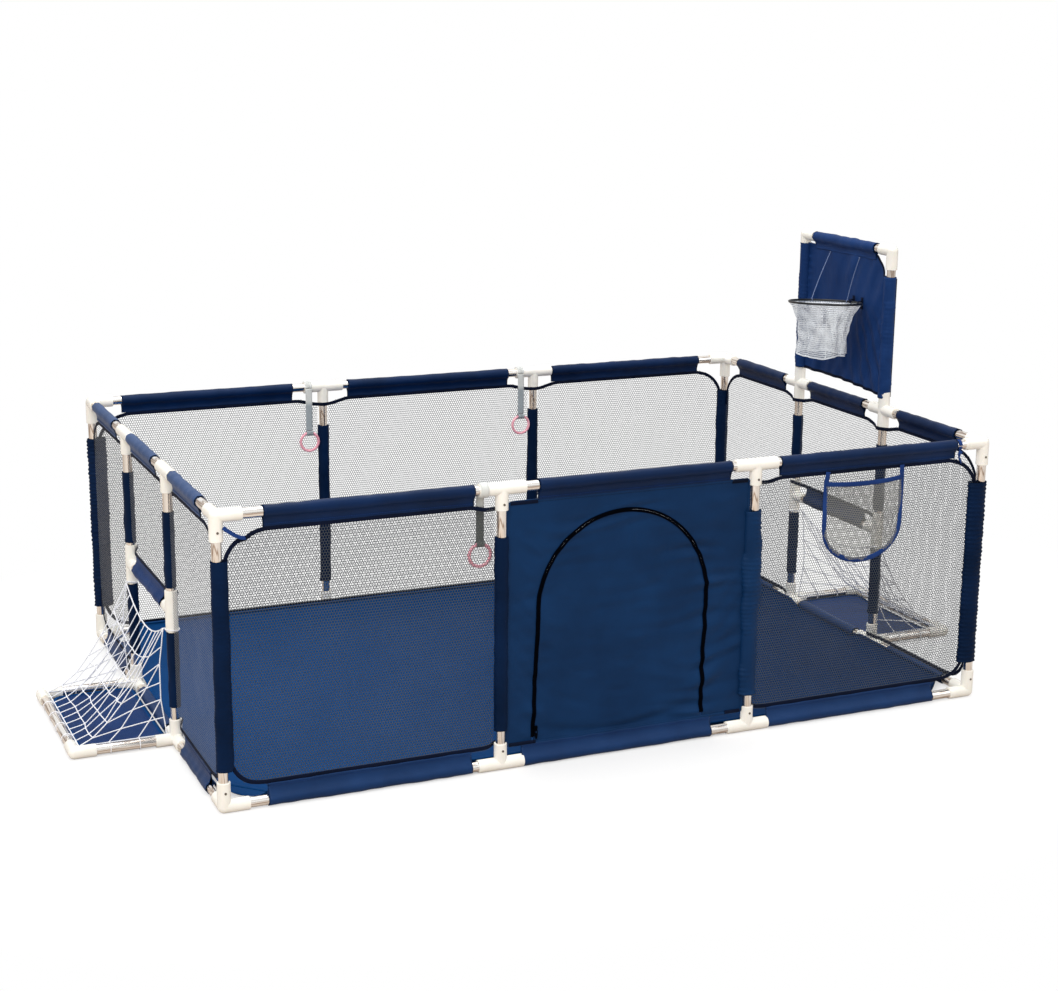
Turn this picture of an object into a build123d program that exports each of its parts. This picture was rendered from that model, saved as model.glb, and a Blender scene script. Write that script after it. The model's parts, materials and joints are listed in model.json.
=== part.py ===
"""Travel play yard: a rectangular push-fit tube fence with netting walls.

Frame: +X along the long side (to the right, towards the hoop), +Y away from the
front wall, +Z up. The origin is on the floor at the centre of the footprint.
All sizes are in millimetres.
"""
from build123d import *
import os
from math import cos, radians, sin, sqrt

# ---- overall size, between tube centre lines ----
LENGTH = 1870.0
WIDTH = 1246.0
RAIL_GAP = 625.0

# ---- push-fit tube and moulded connectors ----
TUBE_R = 11.0
TUBE_WALL = 1.0
SOCKET_R = 11.05
SOCKET_DEPTH = 30.0
CONNECTOR_R = 14.5
RAIL_ARM = 54.0
STEM_ARM = 48.0
FOOT_CUT = 1.0
ARM_FILLET = 1.6
SCREW_R = 2.6
SCREW_LENGTH = 1.1
SCREW_GAP = 0.02

# ---- heights of the tube centre lines ----
BOTTOM_Z = CONNECTOR_R - FOOT_CUT
TOP_Z = BOTTOM_Z + RAIL_GAP
CROSSBAR_Z = 318.0
BOARD_TOP_Z = 1048.0

# ---- plan positions ----
HALF_X = LENGTH / 2
HALF_Y = WIDTH / 2
TEE_X = LENGTH / 6
GOAL_Y = 205.0
GOAL_DEPTH = 230.0

# ---- cloth ----
CLOTH = 2.0
NET = 2.0
CASING_GAP = 0.5
CASING_R = TUBE_R + CASING_GAP + CLOTH
TOP_TAIL = 32.0
BOTTOM_TAIL = 36.0
SHORT_TAIL = 14.0
SEAM_GAP = 1.5
RAIL_CASING_STOP = 80.0
POST_CASING_STOP = 92.0
GOAL_POST_CASING_STOP = 55.0
GOAL_POST_FOOT_STOP = 78.0
CROSSBAR_CASING_STOP = 62.0
CORNER_CUT = 34.0
MAT = 2.0
MAT_GAP = 6.0
MAT_CORNER = 110.0
MAT_NOTCH = 14.0
NOTCH_LENGTH = 130.0

# ---- door in the front wall ----
DOOR_X = -16.0
DOOR_HALF = 210.0
DOOR_BOTTOM_Z = 58.0
DOOR_SPRING_Z = 356.0
DOOR_GAP = 5.0
SLIDER_STAND_OFF = 4.0
SLIDER_SIZE = (9.0, 4.0, 13.0)
SLIDER_CLEAR = 1.0
SLIDER_HEIGHT = 24.0
TAB_WIDTH = 5.4
TAB_LENGTH = 30.0
TAB_THICKNESS = 1.6
TAB_HEIGHT = 12.0
TAB_STAND_OFF = 2.6

# ---- pull straps and rings ----
STRAP_OFFSET = 44.0
STRAP_WIDTH = 18.0
STRAP_CLOTH = 1.4
STRAP_DROP = 116.0
STRAP_CLEAR = 0.35
RING_R = 24.8
RING_WIRE_R = 3.6
EYE_R = 5.8

# ---- hoop and its board ----
HOOP_R = 93.0
HOOP_WIRE_R = 3.0
HOOP_Z = 899.0
HOOP_Y = -65.0
HOOP_AXIS_GAP = 9.0
BOARD_BOTTOM_Z = 687.0
BOARD_HEM = 8.0
BOARD_POST_STOP = 60.0
BOARD_CASING_STOP = 62.0
HOOP_NET_DROP = 122.0
HOOP_NET_GAP = 10.0
CLIP_R = 6.2
CLIP_WALL = 1.6
CLIP_WIDTH = 6.0
CLIP_OFFSET = 20.0
CORD_R = 1.0
CORD_GAP = 1.0
CORD_STAND_OFF = 3.5
CORD_ANGLES = (80.0, 20.0)
CORD_TOPS = (75.0, -65.0)
HOOP_NET_BOTTOM_R = 60.0

# ---- goal net ----
GOAL_NET_GAP = 22.0
GOAL_NET_CLEAR = 4.0
GOAL_CLOTH_GAP = 2.0

# ---- storage pocket ----
POCKET_X = 602.0
POCKET_HALF = 104.0
POCKET_BOTTOM_Z = 385.0
POCKET_TOP_Z = 576.0
POCKET_DEPTH = 12.0
POCKET_ROUND = 0.7

X_DIR = (1, 0, 0)
Y_DIR = (0, 1, 0)
Z_DIR = (0, 0, 1)


def save(name, *solids):
    """Write the solids of one named piece."""
    export_step(grouped(name, solids), f"parts/{name}.step")


def grouped(name, solids):
    """One solid as it is, several as a group of separate solids."""
    flat = [solid for item in solids for solid in item.solids()]
    shape = flat[0] if len(flat) == 1 else Compound(children=flat)
    shape.label = name
    return shape


def rod(start, direction, length, radius):
    """A round bar from a point along a direction."""
    return Solid.make_cylinder(radius, length, Plane(origin=start, z_dir=direction))


def bar(start, end, radius):
    """A round bar between two points."""
    run = Vector(*end) - Vector(*start)
    return rod(start, run.normalized(), run.length, radius)


def along(point, direction, distance):
    """The point moved along a unit direction."""
    return tuple(p + d * distance for p, d in zip(point, direction))


def tube(start, end, cover_start, cover_end):
    """A thin tube between two connector centres, seated in the socket of each one.

    cover_start and cover_end are the arm lengths of the two connectors.
    """
    run = (Vector(*end) - Vector(*start)).normalized()
    step = (run.X, run.Y, run.Z)
    back = (-run.X, -run.Y, -run.Z)
    first = along(start, step, cover_start - SOCKET_DEPTH)
    last = along(end, back, cover_end - SOCKET_DEPTH)
    return bar(first, last, TUBE_R) - bar(first, last, TUBE_R - TUBE_WALL)


def connector(centre, arms):
    """A moulded connector: a round hub with one socketed arm for each tube.

    arms is a list of (direction, arm length).
    """
    body = Solid.make_sphere(CONNECTOR_R, Plane(origin=centre))
    for direction, length in arms:
        body = body + rounded_arm(centre, direction, length)
    for direction, length in arms:
        mouth = along(centre, direction, length - SOCKET_DEPTH)
        body = body - rod(mouth, direction, SOCKET_DEPTH + 1.0, SOCKET_R)
    if centre[2] == BOTTOM_Z:
        body = body - floor_block(centre)
    return body


def rounded_arm(centre, direction, length):
    """One arm of a connector, with its rim rounded."""
    arm = rod(centre, direction, length, CONNECTOR_R)
    rims = arm.edges().filter_by(GeomType.CIRCLE)
    outer = max(rims, key=lambda edge: (edge.arc_center - Vector(*centre)).length)
    return arm.fillet(ARM_FILLET, [outer])


def floor_block(centre):
    """The block under the floor plane that trims a foot flat."""
    side = 3 * RAIL_ARM
    return Pos(centre[0], centre[1], -side / 2) * Box(side, side, side)


# ---- connectors ----

def corner_connectors():
    """Three-way corners, one node each."""
    for front, y, in_y in (("front", -HALF_Y, 1), ("back", HALF_Y, -1)):
        for side, x, in_x in (("left", -HALF_X, 1), ("right", HALF_X, -1)):
            for level, z, in_z in (("bottom", BOTTOM_Z, 1), ("top", TOP_Z, -1)):
                arms = [
                    ((in_x, 0, 0), RAIL_ARM),
                    ((0, in_y, 0), RAIL_ARM),
                    ((0, 0, in_z), RAIL_ARM),
                ]
                save(f"corner_{front}_{side}_{level}", connector((x, y, z), arms))


def long_side_tees():
    """T connectors at the thirds of the front and back rails."""
    for front, y in (("front", -HALF_Y), ("back", HALF_Y)):
        for level, z, in_z in (("bottom", BOTTOM_Z, 1), ("top", TOP_Z, -1)):
            arms = [((1, 0, 0), RAIL_ARM), ((-1, 0, 0), RAIL_ARM), ((0, 0, in_z), STEM_ARM)]
            pair = [connector((x, y, z), arms) for x in (-TEE_X, TEE_X)]
            save(f"tees_{front}_{level}", *pair)


def goal_connectors(side, x, out):
    """Every connector of the goal in one end wall; out points away from the yard."""
    outward = (out, 0, 0)
    rail_arms = [((0, 1, 0), RAIL_ARM), ((0, -1, 0), RAIL_ARM)]
    base_arms = rail_arms + [((0, 0, 1), STEM_ARM), (outward, STEM_ARM)]
    top_arms = rail_arms + [((0, 0, -1), STEM_ARM)]
    if side == "right":
        top_arms = top_arms + [((0, 0, 1), STEM_ARM)]
    bases = []
    tops = []
    middles = []
    elbows = []
    for y, inward in ((-GOAL_Y, 1), (GOAL_Y, -1)):
        bases.append(connector((x, y, BOTTOM_Z), base_arms))
        tops.append(connector((x, y, TOP_Z), top_arms))
        middle_arms = [((0, 0, 1), STEM_ARM), ((0, 0, -1), STEM_ARM), ((0, inward, 0), STEM_ARM)]
        middles.append(connector((x, y, CROSSBAR_Z), middle_arms))
        elbow_arms = [((-out, 0, 0), STEM_ARM), ((0, inward, 0), STEM_ARM)]
        elbows.append(connector((x + out * GOAL_DEPTH, y, BOTTOM_Z), elbow_arms))
    save(f"goal_base_connectors_{side}", *bases)
    save(f"goal_post_tops_{side}", *tops)
    save(f"crossbar_connectors_{side}", *middles)
    save(f"goal_base_elbows_{side}", *elbows)


def board_elbows():
    """Two-way elbows at the top of the hoop board."""
    pair = []
    for y, inward in ((-GOAL_Y, 1), (GOAL_Y, -1)):
        arms = [((0, 0, -1), STEM_ARM), ((0, inward, 0), STEM_ARM)]
        pair.append(connector((HALF_X, y, BOARD_TOP_Z), arms))
    save("hoop_board_elbows", *pair)


def connector_screws():
    """Small round locking buttons, seated on the upright arm of each rail connector."""
    buttons = []
    for z, in_z in ((BOTTOM_Z, 1), (TOP_Z, -1)):
        height = z + in_z * (STEM_ARM - SOCKET_DEPTH / 2)
        for x in (-HALF_X, -TEE_X, TEE_X, HALF_X):
            for y, out in ((-HALF_Y, -1), (HALF_Y, 1)):
                seat = (x, y + out * (CONNECTOR_R + SCREW_GAP), height)
                buttons.append(rod(seat, (0, out, 0), SCREW_LENGTH, SCREW_R))
    save("connector_buttons", *buttons)


# ---- tubes ----

def long_side_rails():
    """Six rails of the front wall and six of the back wall."""
    stations = [-HALF_X, -TEE_X, TEE_X, HALF_X]
    for front, y in (("front", -HALF_Y), ("back", HALF_Y)):
        rails = []
        for z in (BOTTOM_Z, TOP_Z):
            for a, b in zip(stations, stations[1:]):
                rails.append(tube((a, y, z), (b, y, z), RAIL_ARM, RAIL_ARM))
        save(f"rails_{front}", *rails)


def end_rails(side, x):
    """Six rails of one end wall."""
    stations = [-HALF_Y, -GOAL_Y, GOAL_Y, HALF_Y]
    rails = []
    for z in (BOTTOM_Z, TOP_Z):
        for a, b in zip(stations, stations[1:]):
            rails.append(tube((x, a, z), (x, b, z), RAIL_ARM, RAIL_ARM))
    save(f"rails_{side}", *rails)


def upright_posts():
    """Posts of the corners and of the long sides."""
    posts = []
    for y in (-HALF_Y, HALF_Y):
        for x, arm in ((-HALF_X, RAIL_ARM), (-TEE_X, STEM_ARM), (TEE_X, STEM_ARM), (HALF_X, RAIL_ARM)):
            posts.append(tube((x, y, BOTTOM_Z), (x, y, TOP_Z), arm, arm))
    save("upright_posts", *posts)


def goal_tubes(side, x, out):
    """Posts and base frame of one goal."""
    posts = []
    base = []
    far = x + out * GOAL_DEPTH
    for y in (-GOAL_Y, GOAL_Y):
        posts.append(tube((x, y, BOTTOM_Z), (x, y, CROSSBAR_Z), STEM_ARM, STEM_ARM))
        posts.append(tube((x, y, CROSSBAR_Z), (x, y, TOP_Z), STEM_ARM, STEM_ARM))
        base.append(tube((x, y, BOTTOM_Z), (far, y, BOTTOM_Z), STEM_ARM, STEM_ARM))
    base.append(tube((far, -GOAL_Y, BOTTOM_Z), (far, GOAL_Y, BOTTOM_Z), STEM_ARM, STEM_ARM))
    save(f"goal_posts_{side}", *posts)
    save(f"goal_base_tubes_{side}", *base)


def crossbar_casings():
    """Sleeves over the goal crossbars, with a tail up to the netting."""
    sleeves = []
    for x in (-HALF_X, HALF_X):
        start = (x, -GOAL_Y + CROSSBAR_CASING_STOP, CROSSBAR_Z)
        end = (x, GOAL_Y - CROSSBAR_CASING_STOP, CROSSBAR_Z)
        sleeves.append(casing(start, end, Z_DIR, TOP_TAIL))
    save("crossbar_casings", *sleeves)


def goal_crossbars():
    """The bar over each goal mouth."""
    bars = []
    for x in (-HALF_X, HALF_X):
        bars.append(tube((x, -GOAL_Y, CROSSBAR_Z), (x, GOAL_Y, CROSSBAR_Z), STEM_ARM, STEM_ARM))
    save("goal_crossbars", *bars)


def hoop_board_tubes():
    """The two posts and the top bar that carry the hoop board."""
    tubes = []
    for y in (-GOAL_Y, GOAL_Y):
        tubes.append(tube((HALF_X, y, TOP_Z), (HALF_X, y, BOARD_TOP_Z), STEM_ARM, STEM_ARM))
    ends = [(HALF_X, y, BOARD_TOP_Z) for y in (-GOAL_Y, GOAL_Y)]
    tubes.append(tube(ends[0], ends[1], STEM_ARM, STEM_ARM))
    save("hoop_board_tubes", *tubes)


# ---- cloth ----

def casing(start, end, tail_direction=None, tail=0.0):
    """A cloth sleeve around a tube, with a flat tail sewn to the netting."""
    sleeve = bar(start, end, CASING_R)
    if tail_direction:
        middle = (Vector(*start) + Vector(*end)) / 2
        run = Vector(*end) - Vector(*start)
        size = [abs(r) + abs(t) * tail + (CLOTH if not r and not t else 0)
                for r, t in zip((run.X, run.Y, run.Z), tail_direction)]
        centre = along((middle.X, middle.Y, middle.Z), tail_direction, tail / 2)
        sleeve = sleeve + Pos(*centre) * Box(*size)
    return sleeve - bar(start, end, TUBE_R + CASING_GAP)


def rail_casings(z, stop, tail_direction, tails):
    """Sleeves over every outer rail at one height.

    tails holds the tail length of the front and left walls, then of the back and right walls.
    """
    sleeves = []
    for y, tail in zip((-HALF_Y, HALF_Y), tails):
        for a, b in zip([-HALF_X, -TEE_X, TEE_X], [-TEE_X, TEE_X, HALF_X]):
            sleeves.append(casing((a + stop, y, z), (b - stop, y, z), tail_direction, tail))
    for x, tail in zip((-HALF_X, HALF_X), tails):
        for a, b in zip([-HALF_Y, -GOAL_Y, GOAL_Y], [-GOAL_Y, GOAL_Y, HALF_Y]):
            mouth = tail_direction[2] > 0 and a == -GOAL_Y
            direction = None if mouth else tail_direction
            sleeves.append(casing((x, a + stop, z), (x, b - stop, z), direction, tail))
    return sleeves


def post_casings():
    """Sleeves over the upright posts."""
    sleeves = []
    low = BOTTOM_Z + POST_CASING_STOP
    high = TOP_Z - POST_CASING_STOP
    for y in (-HALF_Y, HALF_Y):
        for x in (-HALF_X, -TEE_X, TEE_X, HALF_X):
            sleeves.append(casing((x, y, low), (x, y, high)))
    for x in (-HALF_X, HALF_X):
        for y in (-GOAL_Y, GOAL_Y):
            sleeves.append(casing((x, y, CROSSBAR_Z + GOAL_POST_CASING_STOP), (x, y, high)))
            foot = BOTTOM_Z + GOAL_POST_FOOT_STOP
            sleeves.append(casing((x, y, foot), (x, y, CROSSBAR_Z - GOAL_POST_CASING_STOP)))
    save("post_casings", *sleeves)


def wall_sheet(width, low, high, thickness, corners):
    """An upright sheet in the XZ plane, centred on X=0, with its corners cut off."""
    sheet = Pos(0, 0, (low + high) / 2) * Box(width, thickness, high - low)
    for sx in (-1, 1):
        for z, sz in ((low, 1), (high, -1)):
            if sz in corners:
                corner = Pos(sx * width / 2, 0, z) * Rot(0, 45, 0)
                sheet = sheet - corner * Box(sqrt(2) * CORNER_CUT, 2 * thickness, sqrt(2) * CORNER_CUT)
    return sheet


def bay_sheet(span, low, high, thickness=NET):
    """The sheet of one bay between two posts."""
    width = span - 2 * (CASING_R + SEAM_GAP)
    return wall_sheet(width, low, high, thickness, (1, -1))


def sheet_heights(tail=BOTTOM_TAIL):
    """Lowest and highest edge of a wall sheet between the rail casings."""
    return BOTTOM_Z + tail + SEAM_GAP, TOP_Z - TOP_TAIL - SEAM_GAP


def netting_walls():
    """Netting in the bays of every wall, open below the goal crossbars."""
    third = LENGTH / 3
    front = [Pos(x, -HALF_Y, 0) * bay_sheet(third, *sheet_heights()) for x in (-third, third)]
    save("netting_front", *front)
    short = sheet_heights(SHORT_TAIL)
    back = [Pos(x, HALF_Y, 0) * bay_sheet(third, *short) for x in (-third, 0, third)]
    save("netting_back", *back)
    side_span = HALF_Y - GOAL_Y
    goal_low = CROSSBAR_Z + TOP_TAIL + SEAM_GAP
    for side, x, tail in (("left", -HALF_X, BOTTOM_TAIL), ("right", HALF_X, SHORT_TAIL)):
        low, high = sheet_heights(tail)
        turn = Rot(0, 0, 90)
        sheets = [Pos(x, 0, 0) * turn * bay_sheet(2 * GOAL_Y, goal_low, high)]
        for y in (-1, 1):
            place = Pos(x, y * (GOAL_Y + side_span / 2), 0)
            sheets.append(place * turn * bay_sheet(side_span, low, high))
        save(f"netting_{side}", *sheets)


def arch(half_width, low, high_centre, thickness):
    """An upright plate with straight legs and a half-round top."""
    profile = Plane.XZ * (
        Pos(0, (low + high_centre) / 2) * Rectangle(2 * half_width, high_centre - low)
        + Pos(0, high_centre) * Circle(half_width)
    )
    return extrude(profile, thickness / 2, both=True)


def door():
    """The cloth bay of the front wall and the arched flap that unzips from it."""
    low, high = sheet_heights()
    bay = bay_sheet(LENGTH / 3, low, high, CLOTH)
    hole = Pos(DOOR_X, 0, 0) * arch(DOOR_HALF, DOOR_BOTTOM_Z, DOOR_SPRING_Z, 3 * CLOTH)
    save("door_panel", Pos(0, -HALF_Y, 0) * (bay - hole))
    flap = arch(DOOR_HALF - DOOR_GAP, DOOR_BOTTOM_Z + SEAM_GAP, DOOR_SPRING_Z, CLOTH)
    save("door_flap", Pos(DOOR_X, -HALF_Y, 0) * flap)


def zip_slider():
    """The zip slider at the foot of the left leg, with its pull tab."""
    width, depth, height = SLIDER_SIZE
    x = DOOR_X - DOOR_HALF + DOOR_GAP - SLIDER_CLEAR - width / 2
    y = -HALF_Y - SLIDER_STAND_OFF
    body = Pos(x, y, DOOR_BOTTOM_Z + SLIDER_HEIGHT) * Box(width, depth, height)
    tab_place = Pos(x, y - TAB_STAND_OFF, DOOR_BOTTOM_Z + TAB_HEIGHT)
    tab = tab_place * Box(TAB_WIDTH, TAB_THICKNESS, TAB_LENGTH)
    save("zip_slider", body + tab)


def floor_mat():
    """The cloth floor, cut away at the connectors."""
    width = 2 * (HALF_X - CASING_R - MAT_GAP)
    depth = 2 * (HALF_Y - CASING_R - MAT_GAP)
    sheet = Pos(0, 0, MAT / 2) * Box(width, depth, MAT)
    for sx in (-1, 1):
        for sy in (-1, 1):
            corner = Pos(sx * width / 2, sy * depth / 2, MAT / 2) * Rot(0, 0, 45)
            sheet = sheet - corner * Box(MAT_CORNER, MAT_CORNER, 2 * MAT)
    for sx in (-1, 1):
        for y in (-GOAL_Y, GOAL_Y):
            sheet = sheet - Pos(sx * width / 2, y, MAT / 2) * Box(MAT_NOTCH, NOTCH_LENGTH, 2 * MAT)
    for x in (-TEE_X, TEE_X):
        for sy in (-1, 1):
            sheet = sheet - Pos(x, sy * depth / 2, MAT / 2) * Box(NOTCH_LENGTH, MAT_NOTCH, 2 * MAT)
    save("floor_mat", sheet)


def goal_floor_cloths():
    """The cloth inside the base frame of each goal."""
    clear = CONNECTOR_R + GOAL_CLOTH_GAP
    near = CASING_R + 2 * GOAL_CLOTH_GAP
    depth = GOAL_DEPTH - near - GOAL_NET_GAP
    cloths = []
    for out in (-1, 1):
        x = out * (HALF_X + near + depth / 2)
        cloths.append(Pos(x, 0, MAT / 2) * Box(depth, 2 * (GOAL_Y - clear), MAT))
    save("goal_floor_cloths", *cloths)


def goal_net(side, x, out):
    """The goal bag: a sloping back sheet and two triangular sides, as thin nets."""
    clear = CONNECTOR_R + GOAL_NET_CLEAR
    far = x + out * (GOAL_DEPTH - clear)
    near = x + out * clear
    top = CROSSBAR_Z - clear
    low = BOTTOM_Z + GOAL_NET_CLEAR
    half = GOAL_Y - clear
    slope = Polyline((near, top), (far, low), (far - out * NET, low), (near, top - 2 * NET), close=True)
    back = extrude(Plane.XZ * make_face(slope), half - 2 * NET, both=True)
    triangle = Polyline((near, top - 4 * NET), (near, low), (far - 3 * out * NET, low), close=True)
    flank = extrude(Plane.XZ * make_face(triangle), NET / 2, both=True)
    flanks = [Pos(0, y, 0) * flank for y in (-half, half)]
    save(f"goal_net_{side}", back, *flanks)


def hoop_board():
    """The cloth board hung from the top bar, with sleeves around both posts."""
    low = BOARD_BOTTOM_Z + BOARD_HEM
    high = BOARD_TOP_Z - BOARD_POST_STOP
    reach = GOAL_Y - BOARD_CASING_STOP
    top = casing((HALF_X, -reach, BOARD_TOP_Z), (HALF_X, reach, BOARD_TOP_Z), (0, 0, -1), TOP_TAIL)
    width = 2 * (GOAL_Y - CASING_R) + CLOTH
    sheet = wall_sheet(width, BOARD_BOTTOM_Z, BOARD_TOP_Z - TOP_TAIL, CLOTH, (-1,))
    joined = top + Pos(HALF_X, 0, 0) * Rot(0, 0, 90) * sheet
    for y in (-GOAL_Y, GOAL_Y):
        joined = joined + casing((HALF_X, y, low), (HALF_X, y, high))
    for y in (-GOAL_Y, GOAL_Y):
        post = bar((HALF_X, y, TOP_Z), (HALF_X, y, BOARD_TOP_Z), TUBE_R + CASING_GAP)
        joined = joined - post
    save("hoop_board_cloth", joined)


def hoop_strings():
    """Two cords from the board's top casing down to the far side of the hoop."""
    cords = []
    x, y, z = hoop_centre()
    for angle, top_y in zip(CORD_ANGLES, CORD_TOPS):
        top = (HALF_X - CORD_STAND_OFF, top_y, BOARD_TOP_Z - TOP_TAIL - 2 * CORD_R)
        on_hoop = (x + HOOP_R * cos(radians(angle)), y + HOOP_R * sin(radians(angle)))
        low = (*on_hoop, z + HOOP_WIRE_R + CORD_R + CORD_GAP)
        cords.append(bar(low, top, CORD_R))
    save("hoop_strings", *cords)


def hoop_clips():
    """Two loops on the board that the hoop's wire turns in."""
    clips = []
    axis_x = HALF_X - HOOP_AXIS_GAP
    for side in (-1, 1):
        y = HOOP_Y + side * CLIP_OFFSET - CLIP_WIDTH / 2
        loop = rod((axis_x, y, HOOP_Z), Y_DIR, CLIP_WIDTH, CLIP_R + CLIP_WALL)
        clips.append(loop - rod((axis_x, y, HOOP_Z), Y_DIR, CLIP_WIDTH, CLIP_R))
    save("hoop_clips", *clips)


def storage_pocket():
    """An open-topped mesh pouch on the outside of the front wall."""
    outer = pocket_outline(POCKET_HALF, 0.0, POCKET_DEPTH)
    inner = pocket_outline(POCKET_HALF - CLOTH, CLOTH, POCKET_DEPTH - 2 * CLOTH)
    place = Pos(POCKET_X, -HALF_Y - NET / 2 - SEAM_GAP, 0)
    save("storage_pocket", place * (outer - Pos(0, -CLOTH, 0) * inner))


def pocket_outline(half_width, raise_bottom, depth):
    """The pouch as a plate with a rounded bottom, its back on the XZ plane."""
    low = POCKET_BOTTOM_Z + raise_bottom
    straight = low + half_width * POCKET_ROUND
    top = POCKET_TOP_Z + raise_bottom
    profile = Plane.XZ * (
        Pos(0, (straight + top) / 2) * Rectangle(2 * half_width, top - straight)
        + Pos(0, straight) * Ellipse(half_width, straight - low)
    )
    return extrude(profile, depth)


# ---- pull straps and rings ----

def pull_strap(x, y, inward):
    """An elastic strap looped over a rail connector, with a small loop for the ring."""
    upper_r = CONNECTOR_R + STRAP_CLEAR
    tail_y = y + inward * (upper_r + STRAP_CLOTH / 2)
    low_z = TOP_Z - STRAP_DROP
    across = (x - STRAP_WIDTH / 2, y, TOP_Z)
    loop = rod(across, X_DIR, STRAP_WIDTH, upper_r + STRAP_CLOTH)
    eye_z = low_z - EYE_R - STRAP_CLOTH / 2
    eye_start = (x - STRAP_WIDTH / 2, tail_y, eye_z)
    eye = rod(eye_start, X_DIR, STRAP_WIDTH, EYE_R + STRAP_CLOTH)
    tail_height = TOP_Z - low_z
    tail = Pos(x, tail_y, TOP_Z - tail_height / 2) * Box(STRAP_WIDTH, STRAP_CLOTH, tail_height)
    strap = loop + tail + eye
    strap = strap - rod(across, X_DIR, STRAP_WIDTH, upper_r)
    return strap - rod(eye_start, X_DIR, STRAP_WIDTH, EYE_R)


def pull_ring(x, y, inward):
    """A round ring that hangs in the strap's lower loop."""
    upper_r = CONNECTOR_R + STRAP_CLEAR
    ring_y = y + inward * (upper_r + STRAP_CLOTH / 2)
    eye_z = TOP_Z - STRAP_DROP - EYE_R - STRAP_CLOTH / 2
    centre = Plane(origin=(x, ring_y, eye_z - RING_R), z_dir=Y_DIR)
    return Solid.make_torus(RING_R, RING_WIRE_R, centre)


def pulls():
    """Three straps with rings, on the connector arms inside the yard."""
    places = {
        "front": (-TEE_X - STRAP_OFFSET, -HALF_Y, 1),
        "back_left": (-TEE_X - STRAP_OFFSET, HALF_Y, -1),
        "back_right": (TEE_X - STRAP_OFFSET, HALF_Y, -1),
    }
    for name, place in places.items():
        save(f"pull_strap_{name}", pull_strap(*place))
        save(f"pull_ring_{name}", pull_ring(*place))


# ---- hoop ----

def hoop_centre():
    """Centre of the hoop when it is down."""
    return (HALF_X - HOOP_AXIS_GAP - HOOP_R, HOOP_Y, HOOP_Z)


def hoop_ring():
    """The wire hoop."""
    ring_plane = Plane(origin=hoop_centre(), z_dir=Z_DIR)
    save("hoop_ring", Solid.make_torus(HOOP_R, HOOP_WIRE_R, ring_plane))


def hoop_net():
    """The tapering net, open at both ends, hung under the wire."""
    x, y, z = hoop_centre()
    top_z = z - HOOP_NET_GAP
    low_z = top_z - HOOP_NET_DROP
    plane = Plane(origin=(x, y, low_z), z_dir=Z_DIR)
    outer = Solid.make_cone(HOOP_NET_BOTTOM_R, HOOP_R, HOOP_NET_DROP, plane)
    inner = Solid.make_cone(HOOP_NET_BOTTOM_R - NET, HOOP_R - NET, HOOP_NET_DROP, plane)
    save("hoop_net", outer - inner)


def main():
    """Write every piece of the play yard."""
    os.makedirs("parts", exist_ok=True)
    corner_connectors()
    long_side_tees()
    long_side_rails()
    upright_posts()
    for side, x, out in (("left", -HALF_X, -1), ("right", HALF_X, 1)):
        goal_connectors(side, x, out)
        goal_tubes(side, x, out)
        goal_net(side, x, out)
        end_rails(side, x)
    goal_crossbars()
    board_elbows()
    hoop_board_tubes()
    connector_screws()
    top_tails = (TOP_TAIL, TOP_TAIL)
    bottom_tails = (BOTTOM_TAIL, SHORT_TAIL)
    save("top_rail_casings", *rail_casings(TOP_Z, RAIL_CASING_STOP, (0, 0, -1), top_tails))
    save("bottom_rail_casings", *rail_casings(BOTTOM_Z, RAIL_CASING_STOP, Z_DIR, bottom_tails))
    post_casings()
    crossbar_casings()
    netting_walls()
    door()
    zip_slider()
    floor_mat()
    goal_floor_cloths()
    hoop_board()
    hoop_strings()
    hoop_clips()
    storage_pocket()
    pulls()
    hoop_ring()
    hoop_net()


main()
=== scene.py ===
"""Looks of the travel play yard: chromed tubes, netting, sewn cloth, goals and hoop."""

import json
import math

import bmesh
import bpy
import numpy as np
from mathutils import Matrix, Vector

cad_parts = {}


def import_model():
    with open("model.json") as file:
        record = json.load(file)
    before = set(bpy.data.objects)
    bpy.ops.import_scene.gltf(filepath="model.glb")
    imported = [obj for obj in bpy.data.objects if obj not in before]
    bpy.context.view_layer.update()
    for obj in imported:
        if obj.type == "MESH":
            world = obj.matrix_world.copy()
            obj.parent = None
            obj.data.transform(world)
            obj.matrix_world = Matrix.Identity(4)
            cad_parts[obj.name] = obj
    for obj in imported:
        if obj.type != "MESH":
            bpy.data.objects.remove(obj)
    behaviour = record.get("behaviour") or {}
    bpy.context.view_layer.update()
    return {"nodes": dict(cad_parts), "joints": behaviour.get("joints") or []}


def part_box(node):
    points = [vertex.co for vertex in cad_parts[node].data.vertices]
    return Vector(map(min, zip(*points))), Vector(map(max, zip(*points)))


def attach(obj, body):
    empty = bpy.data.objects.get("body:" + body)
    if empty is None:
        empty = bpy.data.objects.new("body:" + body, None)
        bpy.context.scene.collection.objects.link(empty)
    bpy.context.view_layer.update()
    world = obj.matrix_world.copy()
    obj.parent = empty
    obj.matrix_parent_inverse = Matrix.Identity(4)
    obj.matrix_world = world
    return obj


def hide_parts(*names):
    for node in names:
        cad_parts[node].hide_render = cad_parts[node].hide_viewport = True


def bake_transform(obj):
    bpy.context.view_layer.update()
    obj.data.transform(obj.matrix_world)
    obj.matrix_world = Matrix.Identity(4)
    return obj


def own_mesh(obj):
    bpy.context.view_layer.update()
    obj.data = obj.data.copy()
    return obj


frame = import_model()

MM = 0.001
AXES = np.eye(3)
TURN = 2 * math.pi

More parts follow.
